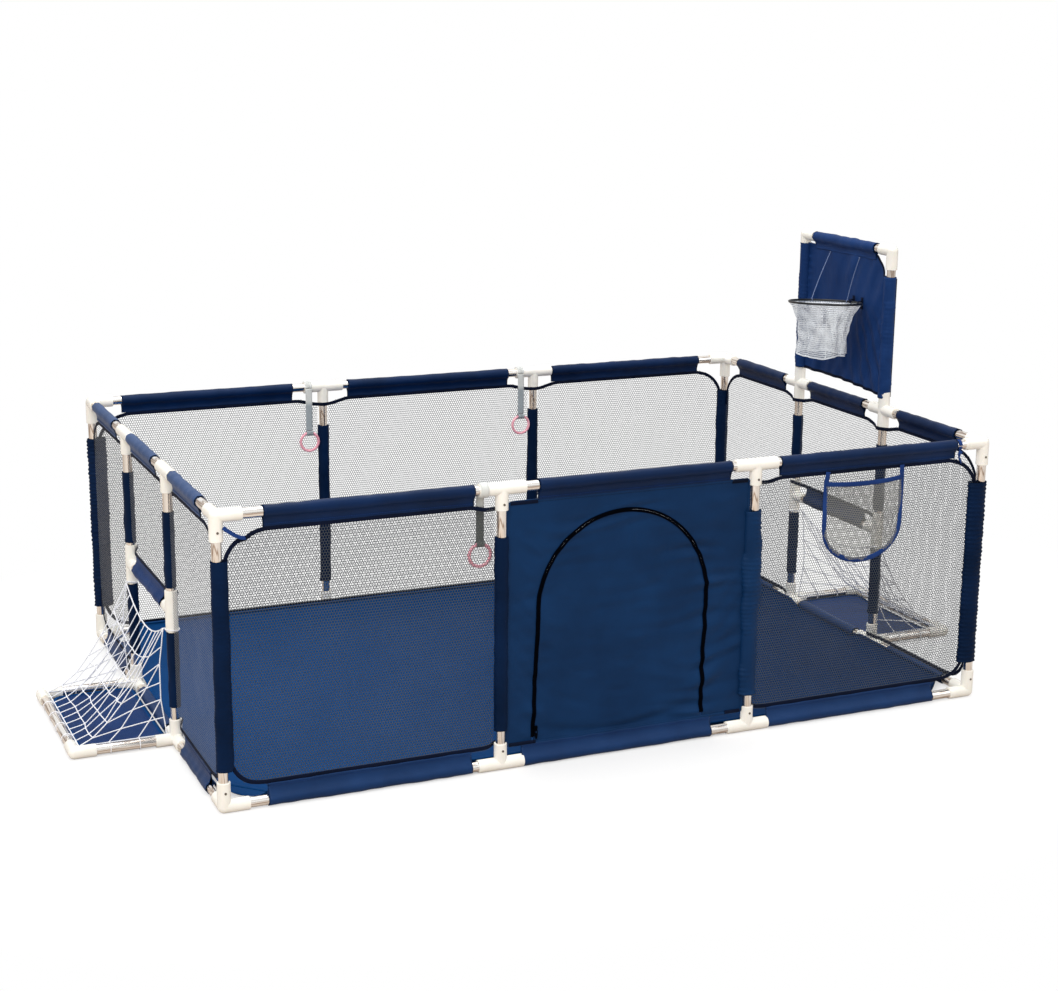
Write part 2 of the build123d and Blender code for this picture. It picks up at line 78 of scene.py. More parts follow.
# ---- radii of the tubes' parts, then sizes read from the frame ----
CONNECTOR_R = 14.5 * MM
TUBE_R = 11 * MM
SLEEVE_R = 13.2 * MM
HALF_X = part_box("corner_front_right_top")[1].x - CONNECTOR_R
HALF_Y = -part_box("corner_front_left_top")[0].y - CONNECTOR_R
TOP_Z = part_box("corner_front_left_top")[1].z - CONNECTOR_R
BOTTOM_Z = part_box("rails_front")[0].z + TUBE_R
GOAL_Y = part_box("goal_posts_left")[1].y - TUBE_R
TEE_X = HALF_X / 3
CROSSBAR_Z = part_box("goal_crossbars")[1].z - TUBE_R
BOARD_TOP_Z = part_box("hoop_board_elbows")[1].z - CONNECTOR_R
GOAL_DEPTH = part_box("goal_base_elbows_right")[1].x - CONNECTOR_R - HALF_X

JOINTS = {joint["name"]: joint for joint in frame["joints"]}

# ---- cloth sizes ----
TAIL = 32 * MM
TAPE_WIDTH = 10 * MM
TAPE_THICKNESS = 1.4 * MM
NET_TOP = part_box("netting_front")[1].z
NET_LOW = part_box("netting_front")[0].z


# =====================================================================
# mesh helpers
# =====================================================================

def mesh_object(name, verts, quads, material, uv=None, smooth=True):
    """A new mesh object in the scene, with an optional UV per vertex (in metres)."""
    mesh = bpy.data.meshes.new(name)
    verts = np.asarray(verts, float).reshape(-1, 3)
    count, sides = quads.shape
    mesh.vertices.add(len(verts))
    mesh.vertices.foreach_set("co", verts.ravel())
    mesh.loops.add(count * sides)
    mesh.loops.foreach_set("vertex_index", quads.ravel().astype(np.int32))
    mesh.polygons.add(count)
    mesh.polygons.foreach_set("loop_start", np.arange(0, count * sides, sides, dtype=np.int32))
    mesh.polygons.foreach_set("loop_total", np.full(count, sides, dtype=np.int32))
    mesh.update(calc_edges=True)
    if uv is not None:
        layer = mesh.uv_layers.new(name="cloth")
        index = np.zeros(len(mesh.loops), np.int32)
        mesh.loops.foreach_get("vertex_index", index)
        layer.data.foreach_set("uv", np.asarray(uv, float)[index].ravel())
    mesh.polygons.foreach_set("use_smooth", np.full(len(mesh.polygons), smooth))
    mesh.validate()
    mesh.materials.append(material)
    piece = bpy.data.objects.new(name, mesh)
    bpy.context.scene.collection.objects.link(piece)
    return piece


class Shape:
    """Verts, quads and UVs gathered from several parts of one piece."""

    def __init__(self):
        self.verts = []
        self.quads = []
        self.uvs = []
        self.count = 0

    def add(self, verts, quads, uv=None):
        """Add one part."""
        verts = np.asarray(verts, float).reshape(-1, 3)
        self.verts.append(verts)
        self.quads.append(np.asarray(quads, int) + self.count)
        self.uvs.append(np.zeros((len(verts), 2)) if uv is None else np.asarray(uv, float).reshape(-1, 2))
        self.count += len(verts)

    def piece(self, name, material, smooth):
        """Make the mesh object."""
        return mesh_object(name, np.vstack(self.verts), np.vstack(self.quads), material,
                           np.vstack(self.uvs), smooth)


def grid(one, two):
    """Two arrays spread over a grid, the first along its rows."""
    return np.meshgrid(one, two, indexing="ij")


def clamp(value):
    """A value kept between 0 and 1."""
    return np.clip(value, 0, 1)


def hump(distance, width):
    """1 at no distance, fading smoothly over a width."""
    return np.exp(-(distance / width) ** 2)


def grid_quads(rows, columns, wrap_rows=False, wrap_columns=False):
    """Quads of a rows x columns grid of points, optionally closed on itself."""
    i = np.arange(rows if wrap_rows else rows - 1)
    j = np.arange(columns if wrap_columns else columns - 1)
    i, j = (a.ravel() for a in grid(i, j))
    i2 = (i + 1) % rows
    j2 = (j + 1) % columns
    return np.stack([i * columns + j, i2 * columns + j, i2 * columns + j2, i * columns + j2], 1)


def unit(vectors):
    """Vectors scaled to length one."""
    vectors = np.asarray(vectors, float)
    return vectors / np.maximum(np.linalg.norm(vectors, axis=-1, keepdims=True), 1e-12)


def tangents(path, closed=False):
    """Unit directions along a path."""
    path = np.asarray(path, float)
    if closed:
        return unit(np.roll(path, -1, 0) - np.roll(path, 1, 0))
    return unit(np.gradient(path, axis=0))


def lengths(path):
    """Distance along a path at each point."""
    steps = np.linalg.norm(np.diff(path, axis=0), axis=1)
    return np.concatenate([[0], np.cumsum(steps)])


def resample(path, step):
    """The path again with even steps."""
    path = np.asarray(path, float)
    at = lengths(path)
    count = max(2, int(round(at[-1] / step)) + 1)
    even = np.linspace(0, at[-1], count)
    return np.stack([np.interp(even, at, path[:, k]) for k in range(3)], 1)


def add_sweep(shape, path, side, normal, profile, closed=False):
    """Sweep a closed profile (offsets along side and normal) along a path, with flat ends."""
    path = np.asarray(path, float)
    profile = np.asarray(profile, float)
    sections = path[:, None] + side[:, None] * profile[None, :, :1] + normal[:, None] * profile[None, :, 1:2]
    rows, columns = sections.shape[:2]
    at = lengths(path)
    around = np.concatenate([[0], np.cumsum(np.linalg.norm(np.diff(profile, axis=0), axis=1))])
    uv = np.stack(grid(at, around), -1)
    shape.add(sections, grid_quads(rows, columns, closed, True), uv)
    if not closed:
        half = columns // 2
        for row in (0, rows - 1):
            ring = shape.count - rows * columns + row * columns
            strip = [(ring + k, ring + k + 1, ring + columns - 2 - k, ring + columns - 1 - k)
                     for k in range(half - 1)]
            quads = np.array(strip, int)
            if row:
                quads = quads[:, ::-1]
            shape.quads.append(quads)


def round_profile(radius, sides):
    """Points of a circle."""
    angle = np.arange(sides) * TURN / sides
    return np.stack([np.cos(angle), np.sin(angle)], 1) * radius


def tape_profile(width, thickness):
    """A flat tape's section with rounded edges."""
    w = width / 2
    t = thickness / 2
    half = [(-w, -t * 0.45), (-w * 0.93, -t), (0, -t), (w * 0.93, -t), (w, -t * 0.45)]
    return np.array(half + [(x, -y) for x, y in reversed(half)])


def side_frames(path, closed=False):
    """Two unit vectors across a path, turning as little as possible."""
    along = tangents(path, closed)
    side = np.zeros_like(along)
    side[0] = unit(np.cross(along[0], (0.31, 0.17, 0.93)))
    for k in range(1, len(along)):
        side[k] = unit(side[k - 1] - along[k] * np.dot(side[k - 1], along[k]))
    return side, np.cross(along, side)


def add_cord(shape, path, radius, sides=6, closed=False):
    """A round cord along a path."""
    side, normal = side_frames(path, closed)
    add_sweep(shape, path, side, normal, round_profile(radius, sides), closed)


def add_tape(shape, path, face, width=TAPE_WIDTH, thickness=TAPE_THICKNESS, closed=False):
    """A flat tape along a path; face is the direction the flat side looks (one or one per point)."""
    path = np.asarray(path, float)
    along = tangents(path, closed)
    face = np.broadcast_to(np.asarray(face, float), path.shape)
    across = unit(np.cross(along, face))
    add_sweep(shape, path, across, unit(np.cross(across, along)), tape_profile(width, thickness), closed)


def add_blob(shape, centre, radius):
    """A small round knot."""
    turns, rings = 8, 5
    polar = np.linspace(0.12, math.pi - 0.12, rings)
    angle = np.arange(turns) * TURN / turns
    p, a = grid(polar, angle)
    points = np.stack([np.sin(p) * np.cos(a), np.sin(p) * np.sin(a), np.cos(p)], -1) * radius
    shape.add(points + np.asarray(centre), grid_quads(rings, turns, False, True))
    base = shape.count - rings * turns
    for ring in (base, base + (rings - 1) * turns):
        shape.quads.append(np.array([[ring, ring + 1, ring + 6, ring + 7],
                                     [ring + 1, ring + 2, ring + 5, ring + 6],
                                     [ring + 2, ring + 3, ring + 4, ring + 5]]))


def ripple(u, v, seed, size, stretch=1.0, waves=9):
    """A smooth repeatable unevenness of about -1 to 1; size is the usual wave length."""
    rng = np.random.default_rng(seed)
    total = np.zeros(np.broadcast(u, v).shape)
    for _ in range(waves):
        turn = rng.uniform(0, TURN)
        rate = TURN / (size * rng.uniform(0.6, 1.7))
        total = total + np.sin(rate * (u * math.cos(turn) + v * math.sin(turn) * stretch)
                               + rng.uniform(0, TURN))
    return total / math.sqrt(waves)


def islands(node):
    """The box (low, high) of each separate solid of a CAD node."""
    scan = bmesh.new()
    scan.from_mesh(frame["nodes"][node].data)
    bmesh.ops.remove_doubles(scan, verts=scan.verts, dist=1e-6)
    seen = set()
    boxes = []
    for start in scan.verts:
        if start in seen:
            continue
        seen.add(start)
        queue = [start]
        points = []
        while queue:
            vert = queue.pop()
            points.append(vert.co[:])
            for edge in vert.link_edges:
                other = edge.other_vert(vert)
                if other not in seen:
                    seen.add(other)
                    queue.append(other)
        points = np.array(points)
        boxes.append((points.min(0), points.max(0)))
    scan.free()
    return sorted(boxes, key=lambda box: tuple(np.round(box[0], 4)))


def centre_line(box, axis=None):
    """Start and end of the middle line of a box, along its longest side unless an axis is given."""
    low, high = box
    if axis is None:
        axis = int(np.argmax(high - low))
    start = (low + high) / 2
    end = start.copy()
    start[axis] = low[axis]
    end[axis] = high[axis]
    return start, end


def circle(centre, side, up, radius, count):
    """Points round a circle that side and up span, without the repeated last point."""
    angle = np.arange(count)[:, None] * TURN / count
    return centre + (side * np.cos(angle) + up * np.sin(angle)) * radius


# =====================================================================
# materials
# =====================================================================

def ramp(tree, value, stops):
    """A colour ramp read at a value; stops are (position, colour)."""
    node = tree.nodes.new("ShaderNodeValToRGB")
    elements = node.color_ramp.elements
    while len(elements) < len(stops):
        elements.new(0.5)
    for element, (position, colour) in zip(elements, stops):
        element.position = position
        element.color = (*colour, 1)
    tree.links.new(value, node.inputs["Fac"])
    return node.outputs["Color"]


WAVE_UNIT = 0.314  # the wave texture repeats at this length when its scale is 1


class Nodes:
    """A short way to write a material's node tree."""

    def __init__(self, name):
        self.material = bpy.data.materials.new(name)
        self.material.use_nodes = True
        self.tree = self.material.node_tree
        self.shader = self.tree.nodes["Principled BSDF"]

    def new(self, kind, **inputs):
        """A node with its inputs set; an input may be a value or another node's output."""
        node = self.tree.nodes.new("ShaderNode" + kind)
        for key, value in inputs.items():
            self.link(value, node, key.replace("_", " "))
        return node

    def link(self, value, node, key):
        """Set or connect one input."""
        socket = node.inputs[int(key)] if key.isdigit() else node.inputs[key]
        if isinstance(value, bpy.types.NodeSocket):
            self.tree.links.new(value, socket)
        else:
            socket.default_value = value

    def set(self, **inputs):
        """Set or connect inputs of the surface shader."""
        for key, value in inputs.items():
            self.link(value, self.shader, key.replace("_", " "))

    def place(self, kind="Object", scale=(1, 1, 1)):
        """Texture coordinates, scaled."""
        source = self.new("TexCoord")
        mapping = self.new("Mapping", Vector=source.outputs[kind], Scale=scale)
        return mapping.outputs["Vector"]

    def noise(self, vector, scale, detail=3.0, rough=0.55):
        """A noise value."""
        node = self.new("TexNoise", Vector=vector, Scale=scale, Detail=detail, Roughness=rough)
        return node.outputs["Fac"]

    def wave(self, vector, pitch, direction, distortion=0.0):
        """A band pattern along a direction that repeats at a pitch in metres."""
        node = self.new("TexWave", Vector=vector, Scale=WAVE_UNIT / pitch, Distortion=distortion)
        node.bands_direction = direction
        return node.outputs["Fac"]

    def blend(self, factor, one, two):
        """Mix two colours."""
        node = self.tree.nodes.new("ShaderNodeMix")
        node.data_type = "RGBA"
        self.link(factor, node, "0")
        self.link(one, node, "6")
        self.link(two, node, "7")
        return node.outputs[2]

    def maths(self, operation, one, two):
        """A math node."""
        node = self.tree.nodes.new("ShaderNodeMath")
        node.operation = operation
        self.link(one, node, "0")
        self.link(two, node, "1")
        return node.outputs[0]

    def remap(self, value, low, high, to_low, to_high):
        """Stretch a value to another range."""
        node = self.new("MapRange", Value=value)
        for key, number in (("From Min", low), ("From Max", high), ("To Min", to_low), ("To Max", to_high)):
            node.inputs[key].default_value = number
        return node.outputs["Result"]

    def bump(self, height, strength, distance):
        """Bump from a height."""
        node = self.new("Bump", Height=height, Strength=strength, Distance=distance)
        self.link(node.outputs["Normal"], self.shader, "Normal")


def srgb(red, green, blue):
    """A linear colour from 0-255 screen values."""
    return tuple(((c / 255 + 0.055) / 1.055) ** 2.4 if c > 10 else c / 255 / 12.92
                 for c in (red, green, blue)) + (1.0,)


def woven_cloth(name, dark, light, roughness=0.62, sheen=0.35, thread=0.9 * MM, shine=0.2, painted_light_left=False):
    """Plain woven polyester: crossing threads, cloudy colour, soft sheen.

    The cloth can go lighter towards the left end: painted light, where the mat catches more light.
    """
    n = Nodes(name)
    cloth = n.place("UV")
    object_space = n.place("Object")
    warp = n.wave(cloth, thread, "X", 0.6)
    weft = n.wave(cloth, thread, "Y", 0.6)
    weave = n.maths("MULTIPLY", warp, weft)
    clouds = n.noise(object_space, 9.0, 5.0)
    fibre = n.noise(object_space, 900.0, 2.0)
    tone = n.remap(clouds, 0.3, 0.7, 0.0, 1.0)
    # painted light: the colour brightens along X towards the left end
    if painted_light_left:
        span = n.new("SeparateXYZ", Vector=object_space).outputs["X"]
        tone = n.maths("ADD", n.remap(span, -0.7, 0.75, 0.9, 0.0), n.maths("MULTIPLY", tone, 0.1))
    base = n.blend(tone, dark, light)
    threads = n.blend(n.remap(weave, 0.0, 1.0, 0.0, 0.22), base, tuple(min(1.0, c * 1.9) for c in light))
    n.set(Base_Color=threads, Roughness=n.remap(fibre, 0.3, 0.7, roughness - 0.08, roughness + 0.08),
          Sheen_Weight=sheen, Sheen_Roughness=0.45, Sheen_Tint=light, Specular_IOR_Level=shine,
          Specular_Tint=(0.62, 0.78, 1.0, 1.0))
    relief = n.maths("ADD", n.maths("MULTIPLY", weave, 0.6), n.maths("MULTIPLY", fibre, 0.5))
    n.bump(relief, 0.35, 0.25 * MM)
    return n.material


def netting_yarn(name, dark, light):
    """Knitted polyester netting yarn."""
    n = Nodes(name)
    place = n.place("Object")
    patches = n.noise(place, 6.0, 3.0)
    strands = n.noise(place, 1500.0, 2.0)
    tone = n.maths("ADD", n.maths("MULTIPLY", patches, 0.6), n.maths("MULTIPLY", strands, 0.4))
    n.set(Base_Color=n.blend(n.remap(tone, 0.35, 0.65, 0.0, 1.0), dark, light), Roughness=0.72,
          Sheen_Weight=0.25, Specular_IOR_Level=0.3)
    n.bump(strands, 0.5, 0.2 * MM)
    return n.material


def twisted_cord(name, dark, light):
    """Twisted cord: slanted strands along each length."""
    n = Nodes(name)
    place = n.place("UV", (1.0, 0.45, 1.0))
    twist = n.wave(place, 2.6 * MM, "DIAGONAL", 1.0)
    fuzz = n.noise(n.place("Object"), 700.0, 3.0)
    tone = n.maths("ADD", n.maths("MULTIPLY", twist, 0.65), n.maths("MULTIPLY", fuzz, 0.35))
    n.set(Base_Color=n.blend(tone, dark, light), Roughness=0.68, Sheen_Weight=0.3, Specular_IOR_Level=0.3)
    n.bump(tone, 0.7, 0.5 * MM)
    return n.material


def moulded_plastic(name, dark, light, roughness=0.22, subsurface=0.06, coat=0.35):
    """Injection-moulded plastic: near-even colour, faint flow marks and scuffs."""
    n = Nodes(name)
    place = n.place("Object")
    flow = n.noise(place, 14.0, 4.0)
    grain = n.noise(place, 260.0, 3.0)
    scuffs = n.noise(n.place("Object", (40, 40, 9)), 9.0, 6.0, 0.7)
    marks = n.remap(scuffs, 0.58, 0.72, 0.0, 1.0)
    base = n.blend(n.remap(flow, 0.3, 0.7, 0.0, 1.0), dark, light)
    n.set(Base_Color=base, Roughness=n.remap(marks, 0.0, 1.0, roughness, roughness + 0.22),
          Subsurface_Weight=subsurface, Subsurface_Radius=(0.004, 0.003, 0.002),
          Coat_Weight=coat, Coat_Roughness=0.08, Specular_IOR_Level=0.5 if coat else 0.0)
    n.bump(n.maths("ADD", n.maths("MULTIPLY", flow, 0.8), n.maths("MULTIPLY", grain, 0.12)), 0.12, 0.4 * MM)
    return n.material


def chromed_steel():
    """Bright chrome with the brown and dark lines of a room's reflection painted into its base colour."""
    n = Nodes("chromed_tube")
    place = n.place("UV", (0.5, 9.0, 1.0))
    lines = n.noise(place, 9.5, 2.0, 0.4)
    smear = n.noise(n.place("Object"), 22.0, 5.0)
    # painted reflection: brown and dark bands in the base colour stand for the room seen in the chrome
    stops = ((0.0, (0.84, 0.76, 0.68)), (0.36, (0.94, 0.92, 0.88)), (0.46, (0.97, 0.96, 0.95)),
             (0.50, (0.42, 0.31, 0.23)), (0.53, (0.95, 0.91, 0.86)), (0.62, (0.88, 0.79, 0.70)),
             (0.67, (0.34, 0.26, 0.20)), (0.71, (0.94, 0.92, 0.90)))
    rough = n.remap(smear, 0.35, 0.75, 0.09, 0.22)
    n.set(Base_Color=ramp(n.tree, lines, stops), Metallic=1.0, Roughness=rough)
    n.bump(smear, 0.03, 0.5 * MM)
    return n.material


def ribbed_elastic(name, dark, light):
    """Elastic webbing with ribs along its length, paler where it loops over the rail."""
    n = Nodes(name)
    place = n.place("UV")
    ribs = n.wave(place, 1.8 * MM, "Y", 0.3)
    cross = n.wave(place, 1.1 * MM, "X", 0.8)
    tone = n.maths("MULTIPLY", ribs, n.remap(cross, 0.0, 1.0, 0.55, 1.0))
    reach = n.new("SeparateXYZ", Vector=place).outputs["X"]
    grey = n.blend(tone, dark, light)
    pale = n.blend(tone, srgb(196, 200, 198), srgb(238, 240, 238))
    n.set(Base_Color=n.blend(n.remap(reach, 0.128, 0.142, 0.0, 1.0), pale, grey), Roughness=0.74,
          Sheen_Weight=0.3, Specular_IOR_Level=0.3)
    n.bump(tone, 0.8, 0.5 * MM)
    return n.material


def coated_wire():
    """Black powder-coated wire."""
    n = Nodes("black_wire")
    place = n.place("Object")
    peel = n.noise(place, 600.0, 2.0)
    chips = n.remap(n.noise(place, 60.0, 5.0, 0.7), 0.66, 0.72, 0.0, 1.0)
    n.set(Base_Color=n.blend(chips, srgb(20, 22, 26), srgb(92, 92, 92)), Metallic=0.15,
          Roughness=n.remap(peel, 0.3, 0.7, 0.3, 0.45))
    n.bump(peel, 0.4, 0.2 * MM)
    return n.material


MATERIALS = {
    "navy_cloth": woven_cloth("navy_cloth", srgb(2, 21, 52), srgb(5, 32, 72), 0.45, 0.03, shine=0.2),
    # painted shade: a darker copy of the navy cloth for the upright posts
    "shaded_post_cloth": woven_cloth("shaded_post_cloth", srgb(1, 17, 42), srgb(4, 27, 60), 0.55, 0.03, shine=0.1),
    # painted light: a lighter copy of the casing cloth for the top left sleeves
    "lit_left_cloth": woven_cloth("lit_left_cloth", srgb(38, 60, 98), srgb(50, 74, 116), 0.5, 0.1, shine=0.3),
    "door_cloth": woven_cloth("door_cloth", srgb(8, 37, 72), srgb(12, 46, 86), 0.48, 0.05, shine=0.14),
    "board_cloth": woven_cloth("board_cloth", srgb(17, 42, 86), srgb(25, 54, 104), 0.5, 0.05, shine=0.1),
    # the mat carries painted light, lighter towards its left end
    "mat_cloth": woven_cloth("mat_cloth", srgb(0, 28, 62), srgb(15, 62, 114), 0.6, 0.0, 1.2 * MM, 0.03, True),
    # painted light: a lighter copy of the casing cloth for the bottom sleeves
    "lit_low_cloth": woven_cloth("lit_low_cloth", srgb(10, 38, 78), srgb(18, 50, 96), 0.45, 0.06, shine=0.25),
    "binding": woven_cloth("binding", srgb(5, 10, 26), srgb(10, 18, 42), 0.66, 0.05, 1.1 * MM, 0.1),
    "blue_binding": woven_cloth("blue_binding", srgb(18, 42, 96), srgb(30, 60, 120), 0.62, 0.1, 1.1 * MM,
                                0.15),
    "zip_tape": woven_cloth("zip_tape", srgb(3, 4, 10), srgb(6, 8, 16), 0.8, 0.0, 0.8 * MM, 0.0),
    "wall_netting": netting_yarn("wall_netting", srgb(48, 55, 64), srgb(68, 73, 78)),
    "pocket_netting": netting_yarn("pocket_netting", srgb(96, 98, 98), srgb(140, 142, 140)),
    "white_cord": twisted_cord("white_cord", srgb(226, 229, 240), srgb(252, 253, 255)),
    "white_mesh": netting_yarn("white_mesh", srgb(206, 214, 222), srgb(242, 246, 250)),
    "string_cord": twisted_cord("string_cord", srgb(66, 84, 124), srgb(124, 142, 180)),
    "connector_plastic": moulded_plastic("connector_plastic", srgb(236, 234, 226), srgb(248, 246, 240)),
    "pink_plastic": moulded_plastic("pink_plastic", srgb(228, 150, 168), srgb(244, 184, 196), 0.2, 0.15),
    "button_plastic": moulded_plastic("button_plastic", srgb(70, 62, 54), srgb(104, 94, 84), 0.35, 0.0),
    "black_plastic": moulded_plastic("black_plastic", srgb(4, 5, 9), srgb(8, 9, 14), 0.8, 0.0, 0.0),
    "chromed_tube": chromed_steel(),
    "grey_elastic": ribbed_elastic("grey_elastic", srgb(66, 70, 68), srgb(124, 130, 126)),
    # painted light: a paler copy of the grey elastic for the back straps, for light showing through them
    "lit_elastic": ribbed_elastic("lit_elastic", srgb(132, 142, 148), srgb(186, 196, 202)),
    "black_wire": coated_wire(),
}


CLOTH = 1.1 * MM


def make(shape, name, material, *nodes, body="frame", slot="navy_cloth", smooth=True, thick=0.0):
    """Make a shape's piece, which rides on a body and stands for the CAD nodes.

    thick gives a single sheet its cloth thickness.
    """
    piece = shape.piece(name, MATERIALS[material], smooth)
    if thick:
        solid = piece.modifiers.new("thickness", "SOLIDIFY")
        solid.thickness = thick
        solid.offset = 0.0
    if body:
        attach(piece, body)
    if nodes:
        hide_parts(*nodes)
    return piece


# =====================================================================
# tubes and connectors
# =====================================================================

TUBE_NODES = ["rails_front", "rails_back", "rails_left", "rails_right", "upright_posts",
              "goal_posts_left", "goal_posts_right", "goal_base_tubes_left", "goal_base_tubes_right",
              "goal_crossbars", "hoop_board_tubes"]


def add_tube(shape, start, end):
    """A tube with slightly eased, open rims."""
    sides = 48
    wall = 1 * MM
    ease = 0.6 * MM
    along = unit(end - start)
    steps = [(start, TUBE_R - wall), (start, TUBE_R - ease), (start + along * ease, TUBE_R)]
    steps += [(start + (end - start) * share, TUBE_R) for share in np.linspace(0.02, 0.98, 5)]
    steps += [(end - along * ease, TUBE_R), (end, TUBE_R - ease), (end, TUBE_R - wall)]
    side = unit(np.cross(along, (0.3, 0.5, 0.8)))
    up = np.cross(along, side)
    rings = []
    for point, radius in steps:
        ring = round_profile(radius, sides)
        rings.append(point + ring[:, :1] * side + ring[:, 1:] * up)
    at = [np.dot(point - start, along) for point, radius in steps]
    around = np.arange(sides) / sides * TURN * TUBE_R
    uv = np.stack(grid(at, around), -1)
    shape.add(np.array(rings), grid_quads(len(steps), sides, True, True), uv)


def chromed_tubes():
    """Finer tubes in place of the CAD ones."""
    for node in TUBE_NODES:
        shape = Shape()
        for box in islands(node):
            start, end = centre_line(box)
            add_tube(shape, start, end)
        make(shape, node + "_chromed", "chromed_tube", node, slot="chromed_tube")


def dress_cad_nodes():
    """Materials for the connectors and buttons, whose CAD shapes are shown as they are."""
    connectors = ("corner_", "tees_", "goal_base_connectors", "goal_post_tops", "crossbar_connectors",
                  "goal_base_elbows", "hoop_board_elbows")
    for name, node in frame["nodes"].items():
        if not name.startswith(connectors + ("connector_buttons",)):
            continue
        key = "connector_plastic" if name.startswith(connectors) else "button_plastic"
        node.data.materials.clear()
        node.data.materials.append(MATERIALS[key])
        node.data.polygons.foreach_set("use_smooth", np.full(len(node.data.polygons), True))


# =====================================================================
# netting walls
# =====================================================================

# netting cells, the netting's gap to its posts, its sag and how far its tape runs on up a side
PITCH = 6.0 * MM
STRAND = 1.12 * MM
CELL_TALL = 1.15
POST_CLEAR = 16.2 * MM
SIDE_GAP = 15 * MM
BELLY = 4 * MM
EDGE_REACH = 34 * MM

# curves of a bay's corners, in millimetres along the rail and away from it
TEE_CUT = [(0, 5), (2, 2), (6, 0)]
TEE_DIP = [(0, 10), (14, 9.5), (26, 7), (40, 3), (56, 0)]
TOP_CUT = [(0, 66), (5, 48), (17, 30), (31, 18), (43, 20), (58, 7), (84, 0)]
EVEN_CUT = [(0, 66), (7, 46), (20, 28), (36, 14), (56, 5), (78, 0)]
LOW_CUT = [(0, 54), (7, 38), (19, 20), (36, 7), (54, 2), (74, 0)]


def inside_outline(u, v, outline):
    """Whether points lie inside a polygon."""
    inside = np.zeros(u.shape, bool)
    px, py = outline[-1]
    for qx, qy in outline:
        crosses = (qy > v) != (py > v)
        with np.errstate(divide="ignore", invalid="ignore"):
            at = (px - qx) * (v - qy) / (py - qy) + qx
        inside ^= crosses & (u < at)
        px, py = qx, qy
    return inside


def hex_sheet(outline, pitch=PITCH, strand=STRAND):
    """A flat sheet of open hexagonal cells: points (u, v) and quads."""
    outline = np.asarray(outline, float)
    low = outline.min(0)
    high = outline.max(0)
    row_step = pitch * CELL_TALL * math.sqrt(3) / 2
    rows = np.arange(int((high[1] - low[1]) / row_step) + 2)
    columns = np.arange(int((high[0] - low[0]) / pitch) + 2)
    r, c = (a.ravel() for a in grid(rows, columns))
    centre_u = low[0] + (c + 0.5 * (r % 2)) * pitch
    centre_v = low[1] + r * row_step
    keep = inside_outline(centre_u, centre_v, outline)
    centres = np.stack([centre_u[keep], centre_v[keep]], 1)
    angle = np.radians(30 + 60 * np.arange(6))
    corner = np.stack([np.cos(angle), np.sin(angle) * CELL_TALL], 1) * pitch / math.sqrt(3)
    outer = centres[:, None] + corner[None]
    inner = centres[:, None] + corner[None] * (1 - strand / pitch)
    points = np.concatenate([outer.reshape(-1, 2), inner.reshape(-1, 2)])
    count = len(centres)
    base = np.arange(count)[:, None] * 6
    k = np.arange(6)[None]
    k2 = (k + 1) % 6
    shift = count * 6
    quads = np.stack([base + k, base + k2, base + k2 + shift, base + k + shift], -1).reshape(-1, 4)
    rounded = np.round(points, 6)
    _, first, back = np.unique(rounded, axis=0, return_index=True, return_inverse=True)
    return points[first], back.ravel()[quads]


def bay_outline(u_low, u_high, low, high, cuts):
    """Outline of a bay; cuts hold each corner's curve, low left first and anticlockwise.

    A curve is listed from the upright side to the rail side, in millimetres from the corner.
    """
    corners = ((u_low, low, 1, 1), (u_high, low, -1, 1), (u_high, high, -1, -1), (u_low, high, 1, -1))
    outline = []
    for number, ((u, v, du, dv), cut) in enumerate(zip(corners, cuts)):
        points = [(u + du * a * MM, v + dv * b * MM) for a, b in cut]
        outline += points if number % 2 == 0 else points[::-1]
    return outline


def behind_posts(u, posts):
    """How far an edge swings inside the yard to pass a post."""
    near = np.min([np.abs(u - post) for post in posts], 0)
    return -POST_CLEAR * hump(near, 24 * MM)


def netting_bay(shape, tape, outline, chains, to_world, face, seed, posts):
    """Fill a bay with netting and bind its top and bottom edges with tape."""
    outline = np.asarray(outline, float)
    points, quads = hex_sheet(outline)
    low = outline.min(0)
    high = outline.max(0)
    t = clamp((points - low) / (high - low))
    pinned = clamp(16 * t[:, 0] * (1 - t[:, 0]) * t[:, 1] * (1 - t[:, 1]))
    depth = BELLY * pinned * (0.55 * ripple(points[:, 0], points[:, 1], seed, 0.42)
                              + 0.25 * ripple(points[:, 0], points[:, 1], seed + 50, 0.12))
    edge = np.minimum(high[1] - points[:, 1], points[:, 1] - low[1])
    if posts:
        depth = depth + behind_posts(points[:, 0], posts) * hump(edge, 22 * MM)
    shape.add(to_world(points[:, 0], points[:, 1], depth), quads)
    for chain in chains:
        line = resample(np.array([(u, v, 0) for u, v in chain]), 6 * MM)
        for _ in range(2):
            line[1:-1] = (line[:-2] + 2 * line[1:-1] + line[2:]) / 4
        offset = behind_posts(line[:, 0], posts) if posts else np.zeros(len(line))
        add_tape(tape, to_world(line[:, 0], line[:, 1], offset), face, 9 * MM)


def long_wall(u, v, depth, sign):
    """World points of a long wall; depth is outwards."""
    return np.stack([u, sign * (HALF_Y + depth), v], -1)


def end_wall(u, v, depth, sign):
    """World points of an end wall; depth is outwards."""
    return np.stack([sign * (HALF_X + depth), u, v], -1)


